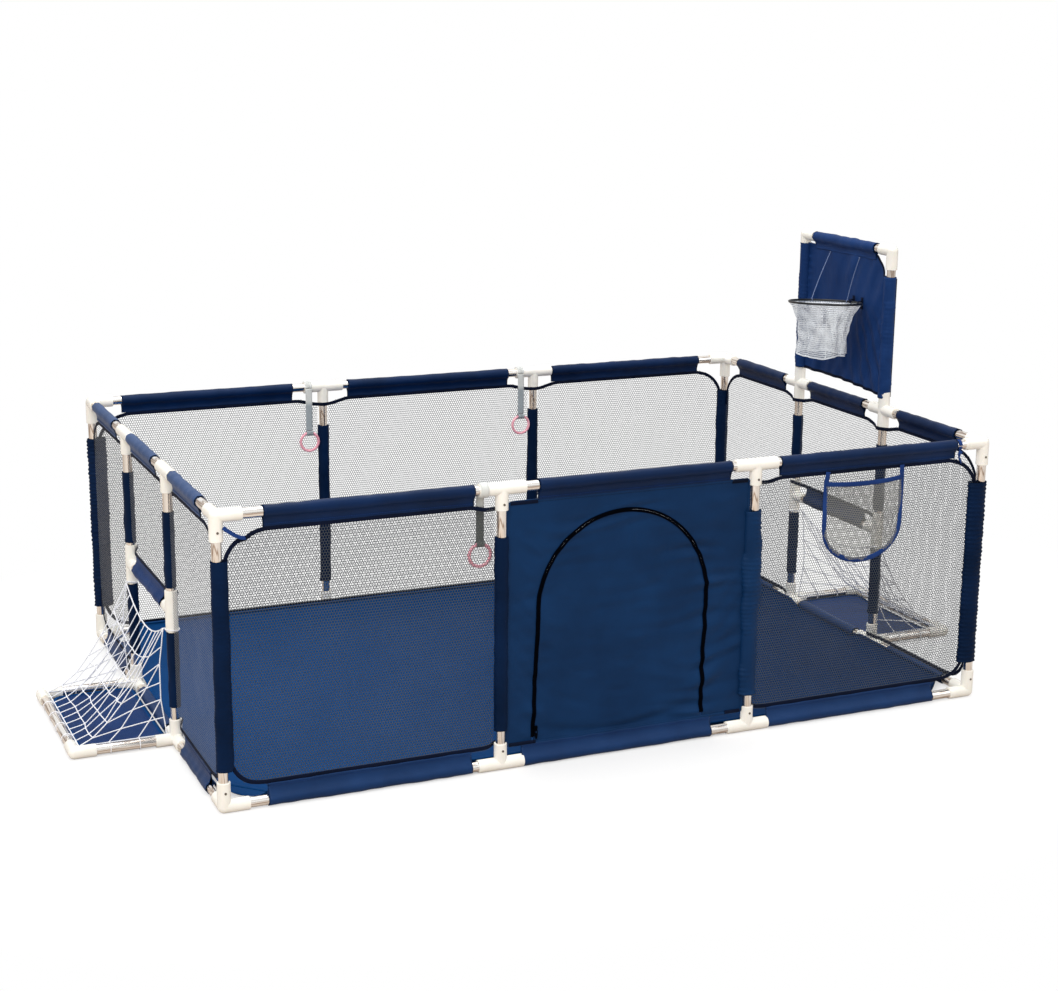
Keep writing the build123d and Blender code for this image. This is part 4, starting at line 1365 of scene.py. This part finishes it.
def goal_net(side, sign):
    """The knotted net: hung from the crossbar's ends, swept out to the base frame."""
    half = GOAL_Y - TUBE_R - 3 * MM
    tie_z = CROSSBAR_Z - 43 * MM
    top_z = tie_z - 1 * MM
    base_z = BOTTOM_Z + 8 * MM
    far = GOAL_DEPTH - TUBE_R - 2 * MM
    rng = np.random.default_rng(81 if sign < 0 else 91)

    def hang(place, t, firm):
        """World place of a knot, a little out of true away from the net's fixed edges."""
        freedom = math.sin(math.pi * t) * (0.3 if firm else 1)
        x, y, z = np.array(place) + rng.uniform(-1, 1, 3) * np.array((6, 7, 5)) * MM * freedom
        return np.array((sign * (HALF_X + max(x, 0.016)), y, max(z, base_z)))

    def fall(t):
        """Height at t between the top corners and the base: the net bows inwards."""
        return top_z + (base_z - top_z) * (1 - (1 - t) ** 1.6)

    rows = np.linspace(0, 1, GOAL_ROWS + 1)
    back = {}
    for i, a in enumerate(np.linspace(0, 1, GOAL_COLUMNS + 1)):
        for j, t in enumerate(rows):
            sag = 48 * MM * 4 * a * (1 - a) * (1 - t) ** 1.3
            lean = 16 * MM * math.sin(math.pi * t) * (0.5 - a)
            place = (NET_CLEAR + (far - NET_CLEAR) * t, -half + 2 * half * a + lean, fall(t) - sag)
            back[i, j] = hang(place, t, i in (0, GOAL_COLUMNS))
    shape = Shape()
    for i in range(GOAL_COLUMNS + 1):
        add_cord(shape, knotted([back[i, j] for j in range(GOAL_ROWS + 1)]), CORD_R)
    for j in range(GOAL_ROWS + 1):
        line = knotted([back[i, j] for i in range(GOAL_COLUMNS + 1)])
        add_cord(shape, line, CORD_R * (1.3 if j == 0 else 1.0))
    for (i, j), knot in back.items():
        if j and 0 < i < GOAL_COLUMNS:
            add_blob(shape, knot, KNOT_R)
    for y_sign, column in ((-1, 0), (1, GOAL_COLUMNS)):
        edge = [hang((NET_CLEAR + 0.012 * math.sin(math.pi * t), y_sign * half, top_z + (base_z - top_z) * t),
                     t, True) for t in rows]
        edge[0] = back[column, 0]
        flank = {}
        for j, t in enumerate(rows):
            inner = [k for k in range(1, SIDE_COLUMNS) if k / SIDE_COLUMNS < t - 1e-6]
            line = [back[column, j]]
            for k in inner:
                f = k / SIDE_COLUMNS / t
                place = back[column, j] * (1 - f) + edge[j] * f
                place[1] -= y_sign * 12 * MM * math.sin(math.pi * f) * math.sin(math.pi * t)
                flank[k, j] = place
                line.append(place)
            line.append(edge[j])
            if j:
                add_cord(shape, knotted(line), CORD_R)
        for k in range(1, SIDE_COLUMNS):
            first = int(math.floor(k / SIDE_COLUMNS * GOAL_ROWS + 1e-6))
            line = [edge[first]] + [flank[k, j] for j in range(GOAL_ROWS + 1) if (k, j) in flank]
            add_cord(shape, knotted(line), CORD_R)
        for knot in flank.values():
            add_blob(shape, knot, KNOT_R)
        add_cord(shape, knotted(edge), CORD_R * 1.2)
        for k in range(1, SIDE_COLUMNS):
            loop_on_tube(shape, flank[k, GOAL_ROWS], 0, sign)
        tie = np.array((sign * HALF_X, y_sign * GOAL_Y, tie_z))
        ring = circle(tie, AXES[0], AXES[1], 15.8 * MM, 32)
        ring[:, 2] += 1.5 * MM * np.sin(2 * np.arange(32) * TURN / 32)
        add_cord(shape, ring, CORD_R, closed=True)
        inner = tie + np.array((sign * 11 * MM, -y_sign * 11 * MM, 0))
        corner = back[column, 0]
        add_cord(shape, np.array([inner * (1 - k) + corner * k for k in np.linspace(0, 1, 5)]), CORD_R)
    for i in range(2, GOAL_COLUMNS - 1, 2):
        loop_on_tube(shape, back[i, GOAL_ROWS], 1, sign)
    make(shape, f"goal_net_{side}_cords", "white_cord", f"goal_net_{side}", slot="white_cord")


def loop_on_tube(shape, knot, axis, sign):
    """A loop of cord that ties a knot to the base tube beside it."""
    centre = knot.copy()
    centre[2] = BOTTOM_Z
    if axis == 1:
        centre[0] = sign * (HALF_X + GOAL_DEPTH)
    else:
        centre[1] = np.sign(knot[1]) * GOAL_Y
    radius = TUBE_R + CORD_R
    side = np.cross(AXES[axis], AXES[2])
    add_cord(shape, circle(centre, side, AXES[2], radius, 24), CORD_R * 0.85, closed=True)
    top = centre + AXES[2] * radius
    add_cord(shape, np.array([knot, (knot + top) / 2 + AXES[2] * 2 * MM, top]), CORD_R * 0.85)


# =====================================================================
# hoop and board
# =====================================================================

RING_LOW, RING_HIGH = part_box("hoop_ring")
HOOP_CENTRE = np.array((RING_LOW + RING_HIGH) / 2)
HOOP_WIRE_R = (RING_HIGH.z - RING_LOW.z) / 2
HOOP_R = (RING_HIGH.x - RING_LOW.x) / 2 - HOOP_WIRE_R
BOARD_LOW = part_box("hoop_board_cloth")[0].z


def hoop_lift(points):
    """The hoop hangs a little out of level, its free end and its front side higher."""
    points = np.array(points, float)
    axis_x = HOOP_CENTRE[0] + HOOP_R
    points[..., 2] += 0.05 * (axis_x - points[..., 0]) - 0.06 * (points[..., 1] - HOOP_CENTRE[1])
    return points


def board_point(u, v, depth):
    """World points of the hoop board; depth is inwards, towards the hoop."""
    return np.stack([HALF_X - depth, u, v], -1)


def hoop_board():
    """Board cloth with its top sleeve, side sleeves and bound edges; the dark strips along the side seams are
    painted shade.
    """
    half = GOAL_Y - 9 * MM
    reach = GOAL_Y - 64 * MM
    top = BOARD_TOP_Z - 20 * MM
    sheet = hang_cloth((-half, BOARD_LOW), (half, top), (0.022, 0.010), 17, 3.4 * MM, True)
    rows, columns = 132, 96
    across = np.linspace(-half, half, rows)
    shoulder = clamp((-reach - across) / (34 * MM))
    drop = 48 * MM
    roof = top - drop * (1 - np.sqrt(clamp(1 - shoulder ** 2))) * 0.35
    roof = roof - drop * 0.65 * shoulder
    foot = BOARD_LOW - 12 * MM * clamp(-across / half)
    up = np.linspace(0, 1, columns)[None]
    u = np.repeat(across[:, None], columns, 1)
    v = foot[:, None] * (1 - up) + roof[:, None] * up

    def depth(u, v):
        """How far the cloth stands out: settled cloth and its creases."""
        low = clamp((0.90 - v) / 0.16)
        fan = (u - 0.03) / (0.25 + 2.0 * clamp(BOARD_TOP_Z - v))
        warp = 0.6 * ripple(u, v, 321, 0.12)
        folds = 3.8 * MM * low * np.sin(fan * 120 + warp) * clamp((0.06 - u) / 0.1)
        slant = 2.9 * MM * ripple(u + 0.45 * v, (v - 0.4 * u) * 0.25, 303, 0.06, 1.0, 8)
        side = hump(half - np.abs(u), 26 * MM) * 1.3 * MM * ripple(u * 0.1, v, 311, 0.026, 1.0, 8)
        pinned = np.clip((half - np.abs(u)) / (12 * MM), 0.1, 1) * clamp((BOARD_TOP_Z - 0.02 - v) / 0.03)
        total = (sheet.at(u, v) * 0.8 + (folds + slant) * pinned + side - 1.2 * MM) / (4.6 * MM)
        return 4.6 * MM * np.tanh(total)

    shape = Shape()
    shape.add(board_point(u, v, depth(u, v)), grid_quads(rows, columns), np.stack([u, v], -1))
    make(shape, "hoop_board_sheet", "board_cloth", "hoop_board_cloth", thick=CLOTH)
    sleeves = Shape()
    add_sleeve(sleeves, np.array((HALF_X, -reach + 4 * MM, BOARD_TOP_Z)),
               np.array((HALF_X, reach + 12 * MM, BOARD_TOP_Z)),
               -AXES[2], 7, teardrop(SLEEVE_R + 0.6 * MM, TAIL - 2 * MM), loose=1.5 * MM)
    for y, above, below in ((-1, 66 * MM, 17 * MM), (1, 22 * MM, 2 * MM)):
        start = np.array((HALF_X, y * GOAL_Y, BOARD_LOW - below))
        end = np.array((HALF_X, y * GOAL_Y, BOARD_TOP_Z - above))
        add_sleeve(sleeves, start, end, AXES[1] * -y, 19 + y, oval(17 * MM, 16.2 * MM, 3 * MM), 0.9 * MM,
                   1.1 * MM, 3.2 * MM)
    make(sleeves, "hoop_board_sleeves", "board_cloth")
    tape = Shape()
    edge = np.abs(across + reach + 17 * MM) < 30 * MM
    path = board_point(across[edge], roof[edge], depth(across[edge], roof[edge]))
    add_tape(tape, resample(path, 4 * MM), (1, 0, 0), 6 * MM, 2.0 * MM)
    path = board_point(across, foot, depth(across, foot))
    add_tape(tape, resample(path, 5 * MM), (1, 0, 0), 8 * MM, 2.2 * MM)
    # painted shade: dark strips down both side seams stand for the sleeves' shadowed sides
    for y, above, below, back, out in ((-1, 70 * MM, 14 * MM, 15.2 * MM, 3 * MM),
                                       (1, 26 * MM, -1 * MM, -3 * MM, 14.6 * MM)):
        seam = np.linspace(BOARD_LOW - below, BOARD_TOP_Z - above, 60)
        line = np.stack([np.full(60, HALF_X + back), np.full(60, y * (GOAL_Y + out)), seam], -1)
        add_tape(tape, line, (back, y * out, 0), 5 * MM, 1.6 * MM)
    make(tape, "hoop_board_binding_and_shade", "binding")


def hoop_ring():
    """The wire hoop, with the weld where its ends meet."""
    turns, sides = 144, 16
    angle = np.arange(turns) * TURN / turns
    weld = 0.35 * MM * hump(angle - math.pi, 0.035)
    out = np.stack([np.cos(angle), np.sin(angle), np.zeros(turns)], -1)
    around = np.arange(sides) * TURN / sides
    radius = (HOOP_WIRE_R + weld)[:, None, None]
    points = (HOOP_CENTRE + out * HOOP_R)[:, None] + radius * (
        out[:, None] * np.cos(around)[None, :, None] + AXES[2] * np.sin(around)[None, :, None])
    shape = Shape()
    shape.add(hoop_lift(points), grid_quads(turns, sides, True, True))
    make(shape, "hoop_wire", "black_wire", "hoop_ring", body="hoop", slot="black_wire")


def hoop_net():
    """A fine white mesh bag, open at the foot, sewn round the wire."""
    net_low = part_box("hoop_net")[0].z
    foot_r = 61 * MM
    cells = 124
    height = HOOP_CENTRE[2] - HOOP_WIRE_R - net_low
    around = TURN * HOOP_R
    pitch = around / cells

    def bag(angle, t):
        """Point of the bag: angle round the wire, t from the wire to the foot."""
        radius = foot_r + (HOOP_R - foot_r) * (1 - t) ** 3.4
        radius = radius + t * (4.5 * MM * np.sin(3 * angle + 0.8) + 3.2 * MM * np.sin(7 * angle + 2.5 * t)
                               + 2.0 * MM * np.sin(12 * angle - 4 * t))
        slack = 3.4 * MM * np.sqrt(t * (1 - t) + 1e-9)
        radius = radius + slack * ripple(angle * 0.09, t * height, 331, 0.034)
        fall = height * t + t * (3.0 * MM * np.sin(2 * angle + 0.7) + 2.0 * MM * np.sin(5 * angle))
        points = np.stack([np.cos(angle) * radius, np.sin(angle) * radius, -HOOP_WIRE_R * 0.7 - fall], -1)
        points = points + HOOP_CENTRE
        share = (1 - t)[..., None]
        return hoop_lift(points) * share + points * (1 - share)

    outline = [(0, 0), (around, 0), (around, height), (0, height)]
    points, quads = hex_sheet(outline, pitch, pitch * 0.36)
    t = clamp(1 - points[:, 1] / height)
    shape = Shape()
    shape.add(bag(points[:, 0] / HOOP_R, t), quads)
    turn = np.arange(180) * TURN / 180
    add_cord(shape, bag(turn, np.ones(180)), 0.9 * MM, closed=True)
    stitch = circle(HOOP_CENTRE - AXES[2] * HOOP_WIRE_R * 0.9, AXES[0], AXES[1], HOOP_R + 0.4 * MM, 180)
    add_cord(shape, hoop_lift(stitch), 1.0 * MM, closed=True)
    for angle in np.arange(8) * math.pi / 4 + 0.3:
        line = bag(np.full(30, angle) + 0.02 * np.sin(np.linspace(0, 5, 30) + angle), np.linspace(0, 1, 30))
        add_cord(shape, line, 0.7 * MM, 5)
    piece = make(shape, "hoop_net_mesh", "white_mesh", "hoop_net", body="hoop", slot="white_cord",
                 smooth=False)
    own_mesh(piece)


def hoop_clips():
    """Webbing loops that hold the wire to the board."""
    shape = Shape()
    for low, high in islands("hoop_clips"):
        centre = (low + high) / 2
        radius = HOOP_WIRE_R + 2.6 * MM
        angle = np.linspace(-math.pi * 0.42, math.pi * 1.42, 30)
        loop = [centre + np.array((-math.sin(a) * radius, 0, math.cos(a) * radius)) for a in angle]
        wall = HALF_X - 3.4 * MM
        start = np.array((wall, centre[1], centre[2] + 9 * MM))
        end = np.array((wall, centre[1], centre[2] - 9 * MM))
        strip = [start + AXES[2] * 6 * MM, start] + loop + [end, end - AXES[2] * 6 * MM]
        add_tape(shape, resample(strip, 1.5 * MM), (0, 1, 0), 1.3 * MM, 9 * MM)
    make(shape, "hoop_clip_loops", "binding", "hoop_clips", slot="black_trim")


def hoop_strings():
    """Two slack cords from the top sleeve to the far side of the hoop."""
    low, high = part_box("hoop_strings")
    for number, (angle, top_y) in enumerate(((80.0, high.y - CORD_R), (20.0, low.y + CORD_R))):
        a = math.radians(angle)
        out = np.array((math.cos(a), math.sin(a), 0))
        hold = hoop_lift(HOOP_CENTRE + out * HOOP_R)
        top = np.array((HALF_X - 4 * MM, top_y, high.z))
        shape = Shape()
        line = np.linspace(0, 1, 30)[:, None]
        sag = 4 * line * (1 - line) * np.array((-1.5 * MM, 2 * MM, -2 * MM))
        end = hold + AXES[2] * (HOOP_WIRE_R + 0.8 * MM)
        add_cord(shape, top * (1 - line) + end * line + sag, 1.0 * MM, 8)
        add_blob(shape, end, 2.2 * MM)
        add_blob(shape, top, 2.0 * MM)
        add_cord(shape, circle(hold, out, AXES[2], HOOP_WIRE_R + 0.9 * MM, 16), 1.0 * MM, closed=True)
        nodes = ["hoop_strings"] if number == 0 else []
        piece = make(shape, f"hoop_string_{number + 1}", "string_cord", *nodes, body=None, slot="black_trim")
        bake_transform(piece)


# =====================================================================
# storage pocket
# =====================================================================

def storage_pocket():
    """A netting pouch with bound edges on the outside of the front wall."""
    low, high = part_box("storage_pocket")
    centre = (low.x + high.x) / 2
    half = (high.x - low.x) / 2
    spring = low.z + half * 0.86
    turns = np.linspace(0, math.pi, 26)[1:-1]
    bottom = [(centre - half * math.cos(a), spring - (spring - low.z) * math.sin(a) ** 0.9) for a in turns]
    left = [(centre - half, z) for z in np.linspace(high.z, spring, 9)]
    right = [(centre + half, z) for z in np.linspace(spring, high.z, 9)]
    outline = np.array(left + bottom + right)

    def bulge(u, v):
        """How far the pouch stands off the wall."""
        a = clamp(1 - ((u - centre) / half) ** 2)
        b = clamp((v - low.z) / (high.z - low.z))
        return 3.2 * MM + 7.5 * MM * a ** 0.6 * b ** 0.5

    points, quads = hex_sheet(outline, 4.6 * MM, 1.5 * MM)
    depth = bulge(points[:, 0], points[:, 1]) + 0.8 * MM * ripple(points[:, 0], points[:, 1], 61, 0.06)
    net = Shape()
    net.add(front_point(points[:, 0], points[:, 1], depth), quads)
    make(net, "storage_pocket_netting", "pocket_netting", "storage_pocket", slot="pocket_netting",
         smooth=False)
    tape = Shape()
    ends = TOP_Z - TAIL - 2 * MM
    sides = [(centre - half + 5 * MM, ends)] + list(map(tuple, outline)) + [(centre + half - 1 * MM, ends)]
    path = resample(np.array([(u, v, 0) for u, v in sides]), 7 * MM)
    path = front_point(path[:, 0], path[:, 1], np.full(len(path), 3.4 * MM))
    add_tape(tape, path, (0, -1, 0), 12 * MM, 1.8 * MM)
    rim = np.linspace(-half, half, 30)
    sag = 5 * MM * (1 - (rim / half) ** 2)
    rim_z = high.z - sag
    path = front_point(centre + rim, rim_z, bulge(centre + rim, rim_z) + 0.4 * MM)
    add_tape(tape, path, (0, -1, 0), 11 * MM, 1.8 * MM)
    make(tape, "storage_pocket_binding", "blue_binding")


# =====================================================================
# pull straps and rings
# =====================================================================

def pulls():
    """Elastic straps looped over connectors, and their rings."""
    for key in ("front", "back_left", "back_right"):
        strap = f"pull_strap_{key}"
        ring = f"pull_ring_{key}"
        hinge = np.array(JOINTS["strap_swing_" + key]["pos_m"])
        eye = np.array(JOINTS["ring_swing_" + key]["pos_m"])
        inward = np.sign(eye[1] - hinge[1])
        thick = 1.4 * MM
        loop_r = CONNECTOR_R + 0.35 * MM + thick / 2
        angle = np.linspace(0, TURN, 49)
        loop = [hinge + np.array((0, inward * math.cos(a) * loop_r, math.sin(a) * loop_r)) for a in angle]
        eye_r = 5.8 * MM + thick / 2
        turn = np.linspace(math.pi * 0.5, -math.pi * 1.35, 30)
        small = [eye + np.array((0, inward * -math.cos(a) * eye_r, math.sin(a) * eye_r)) for a in turn]
        path = resample(np.array(loop[:-1] + [loop[-1] - AXES[2] * 3 * MM] + small), 2 * MM)
        shape = Shape()
        add_tape(shape, path, (1, 0, 0), thick, 18 * MM)
        # painted light: the back straps take the paler elastic copy
        elastic = "grey_elastic" if key == "front" else "lit_elastic"
        make(shape, strap + "_webbing", elastic, strap, body="strap_" + key, slot="grey_elastic")
        low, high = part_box(ring)
        centre = np.array((low + high) / 2)
        wire = (high.y - low.y) / 2
        radius = (high.x - low.x) / 2 - wire
        turns, sides = 96, 24
        a, b = grid(np.arange(turns) * TURN / turns, np.arange(sides) * TURN / sides)
        seam = wire * (1 + 0.035 * hump(np.sin(b), 0.1))
        points = np.stack([np.cos(a) * (radius + seam * np.cos(b)), seam * np.sin(b),
                           np.sin(a) * (radius + seam * np.cos(b))], -1) + centre
        moulded = Shape()
        moulded.add(points, grid_quads(turns, sides, True, True))
        make(moulded, ring + "_moulded", "pink_plastic", ring, body="ring_" + key, slot="pink_plastic")


dress_cad_nodes()
chromed_tubes()
netting_walls()
rail_casings()
post_casings()
corner_ties()
crossbar_casings()
door()
floor_cloths()
goal_net("left", -1)
goal_net("right", 1)
hoop_board()
hoop_ring()
hoop_net()
hoop_clips()
hoop_strings()
storage_pocket()
pulls()


# =====================================================================
# stage
# =====================================================================

CAMERA_AZIMUTH = math.radians(23.861)
CAMERA_ELEVATION = math.radians(14.017)
CAMERA_ROLL = math.radians(0.543)
CAMERA_PLACE = Vector((-1.8566, -4.2589, 1.5960)) + Vector((0, 0, BOTTOM_Z))
CAMERA_LENS = 64.98
SENSOR = 36.0
ROOM_LIGHT = 0.9
FLOOR_GLOW = 0.35
FLOOR_SIZE = 14.0


def camera():
    """The camera, looking slightly down at the front left corner."""
    sa, ca = math.sin(CAMERA_AZIMUTH), math.cos(CAMERA_AZIMUTH)
    se, ce = math.sin(CAMERA_ELEVATION), math.cos(CAMERA_ELEVATION)
    forward = Vector((sa * ce, ca * ce, -se))
    right = Vector((ca, -sa, 0))
    up = right.cross(forward)
    cr, sr = math.cos(CAMERA_ROLL), math.sin(CAMERA_ROLL)
    axis_x = right * cr + up * sr
    axis_y = up * cr - right * sr
    data = bpy.data.cameras.new("camera")
    data.lens = CAMERA_LENS
    data.sensor_width = SENSOR
    data.clip_end = 50
    view = bpy.data.objects.new("camera", data)
    turn = Matrix((axis_x, axis_y, -forward)).transposed().to_4x4()
    view.matrix_world = Matrix.Translation(CAMERA_PLACE) @ turn
    bpy.context.scene.collection.objects.link(view)
    bpy.context.scene.camera = view


def area_light(name, place, target, size, power, colour=(1, 1, 1)):
    """A soft square light aimed at a point."""
    data = bpy.data.lights.new(name, "AREA")
    data.shape = "SQUARE"
    data.size = size
    data.energy = power
    data.color = colour
    light = bpy.data.objects.new(name, data)
    aim = (Vector(target) - Vector(place)).to_track_quat("-Z", "Y")
    light.matrix_world = Matrix.Translation(place) @ aim.to_matrix().to_4x4()
    bpy.context.scene.collection.objects.link(light)


def world():
    """White surroundings for the camera; a graded room for light and reflections."""
    sky = bpy.data.worlds.new("studio")
    sky.use_nodes = True
    bpy.context.scene.world = sky
    tree = sky.node_tree
    output = tree.nodes["World Output"]
    plain = tree.nodes["Background"]
    plain.inputs["Color"].default_value = (1, 1, 1, 1)
    plain.inputs["Strength"].default_value = 1.0
    room = tree.nodes.new("ShaderNodeBackground")
    room.inputs["Strength"].default_value = ROOM_LIGHT
    coords = tree.nodes.new("ShaderNodeTexCoord")
    split = tree.nodes.new("ShaderNodeSeparateXYZ")
    tree.links.new(coords.outputs["Generated"], split.inputs[0])
    height = tree.nodes.new("ShaderNodeMapRange")
    height.inputs["From Min"].default_value = -1
    tree.links.new(split.outputs["Z"], height.inputs["Value"])
    upward = ramp(tree, height.outputs["Result"],
                  [(0.46, (0.20, 0.16, 0.13)), (0.53, (0.52, 0.46, 0.41)), (0.64, (1.0, 0.99, 0.97)),
                   (1.0, (1, 1, 1))])
    tree.links.new(upward, room.inputs["Color"])
    path = tree.nodes.new("ShaderNodeLightPath")
    mix = tree.nodes.new("ShaderNodeMixShader")
    tree.links.new(path.outputs["Is Camera Ray"], mix.inputs["Fac"])
    tree.links.new(room.outputs[0], mix.inputs[1])
    tree.links.new(plain.outputs[0], mix.inputs[2])
    tree.links.new(mix.outputs[0], output.inputs["Surface"])


def floor():
    """A wide white floor that fades into the white surroundings away from the yard."""
    n = Nodes("studio_floor")
    place = n.place("Object")
    speckle = n.noise(place, 3.0, 3.0)
    n.set(Roughness=0.75, Specular_IOR_Level=0.15)
    glow = n.new("Emission")
    glow.inputs["Color"].default_value = (1, 1, 1, 1)
    away = n.tree.nodes.new("ShaderNodeVectorMath")
    away.operation = "LENGTH"
    n.tree.links.new(n.new("Mapping", Vector=place, Scale=(0.72, 1.0, 0.0)).outputs[0], away.inputs[0])
    seen = n.new("LightPath").outputs["Is Camera Ray"]
    white = n.blend(speckle, (0.93, 0.93, 0.93, 1), (0.96, 0.96, 0.96, 1))
    n.set(Base_Color=n.blend(seen, (0.54, 0.48, 0.43, 1), white))
    share = n.maths("MULTIPLY", n.remap(away.outputs["Value"], 0.55, 1.5, FLOOR_GLOW, 1.0), seen)
    mix = n.new("MixShader")
    n.tree.links.new(share, mix.inputs[0])
    n.tree.links.new(n.shader.outputs[0], mix.inputs[1])
    n.tree.links.new(glow.outputs[0], mix.inputs[2])
    n.tree.links.new(mix.outputs[0], n.tree.nodes["Material Output"].inputs["Surface"])
    line = np.linspace(-FLOOR_SIZE, FLOOR_SIZE, 9)
    x, y = grid(line, line)
    ground = mesh_object("studio_ground", np.stack([x, y, np.full_like(x, -0.5 * MM)], -1),
                         grid_quads(9, 9), n.material)


bpy.context.scene.view_settings.view_transform = "Standard"
camera()
world()
floor()
area_light("key", (-2.6, -3.4, 3.6), (0, 0, 0.3), 2.6, 122, (1.0, 0.98, 0.95))
area_light("fill", (3.4, -2.4, 2.4), (0, 0, 0.3), 2.4, 14, (0.96, 0.98, 1.0))
area_light("top", (0, 0.4, 4.2), (0, 0, 0), 3.6, 86)
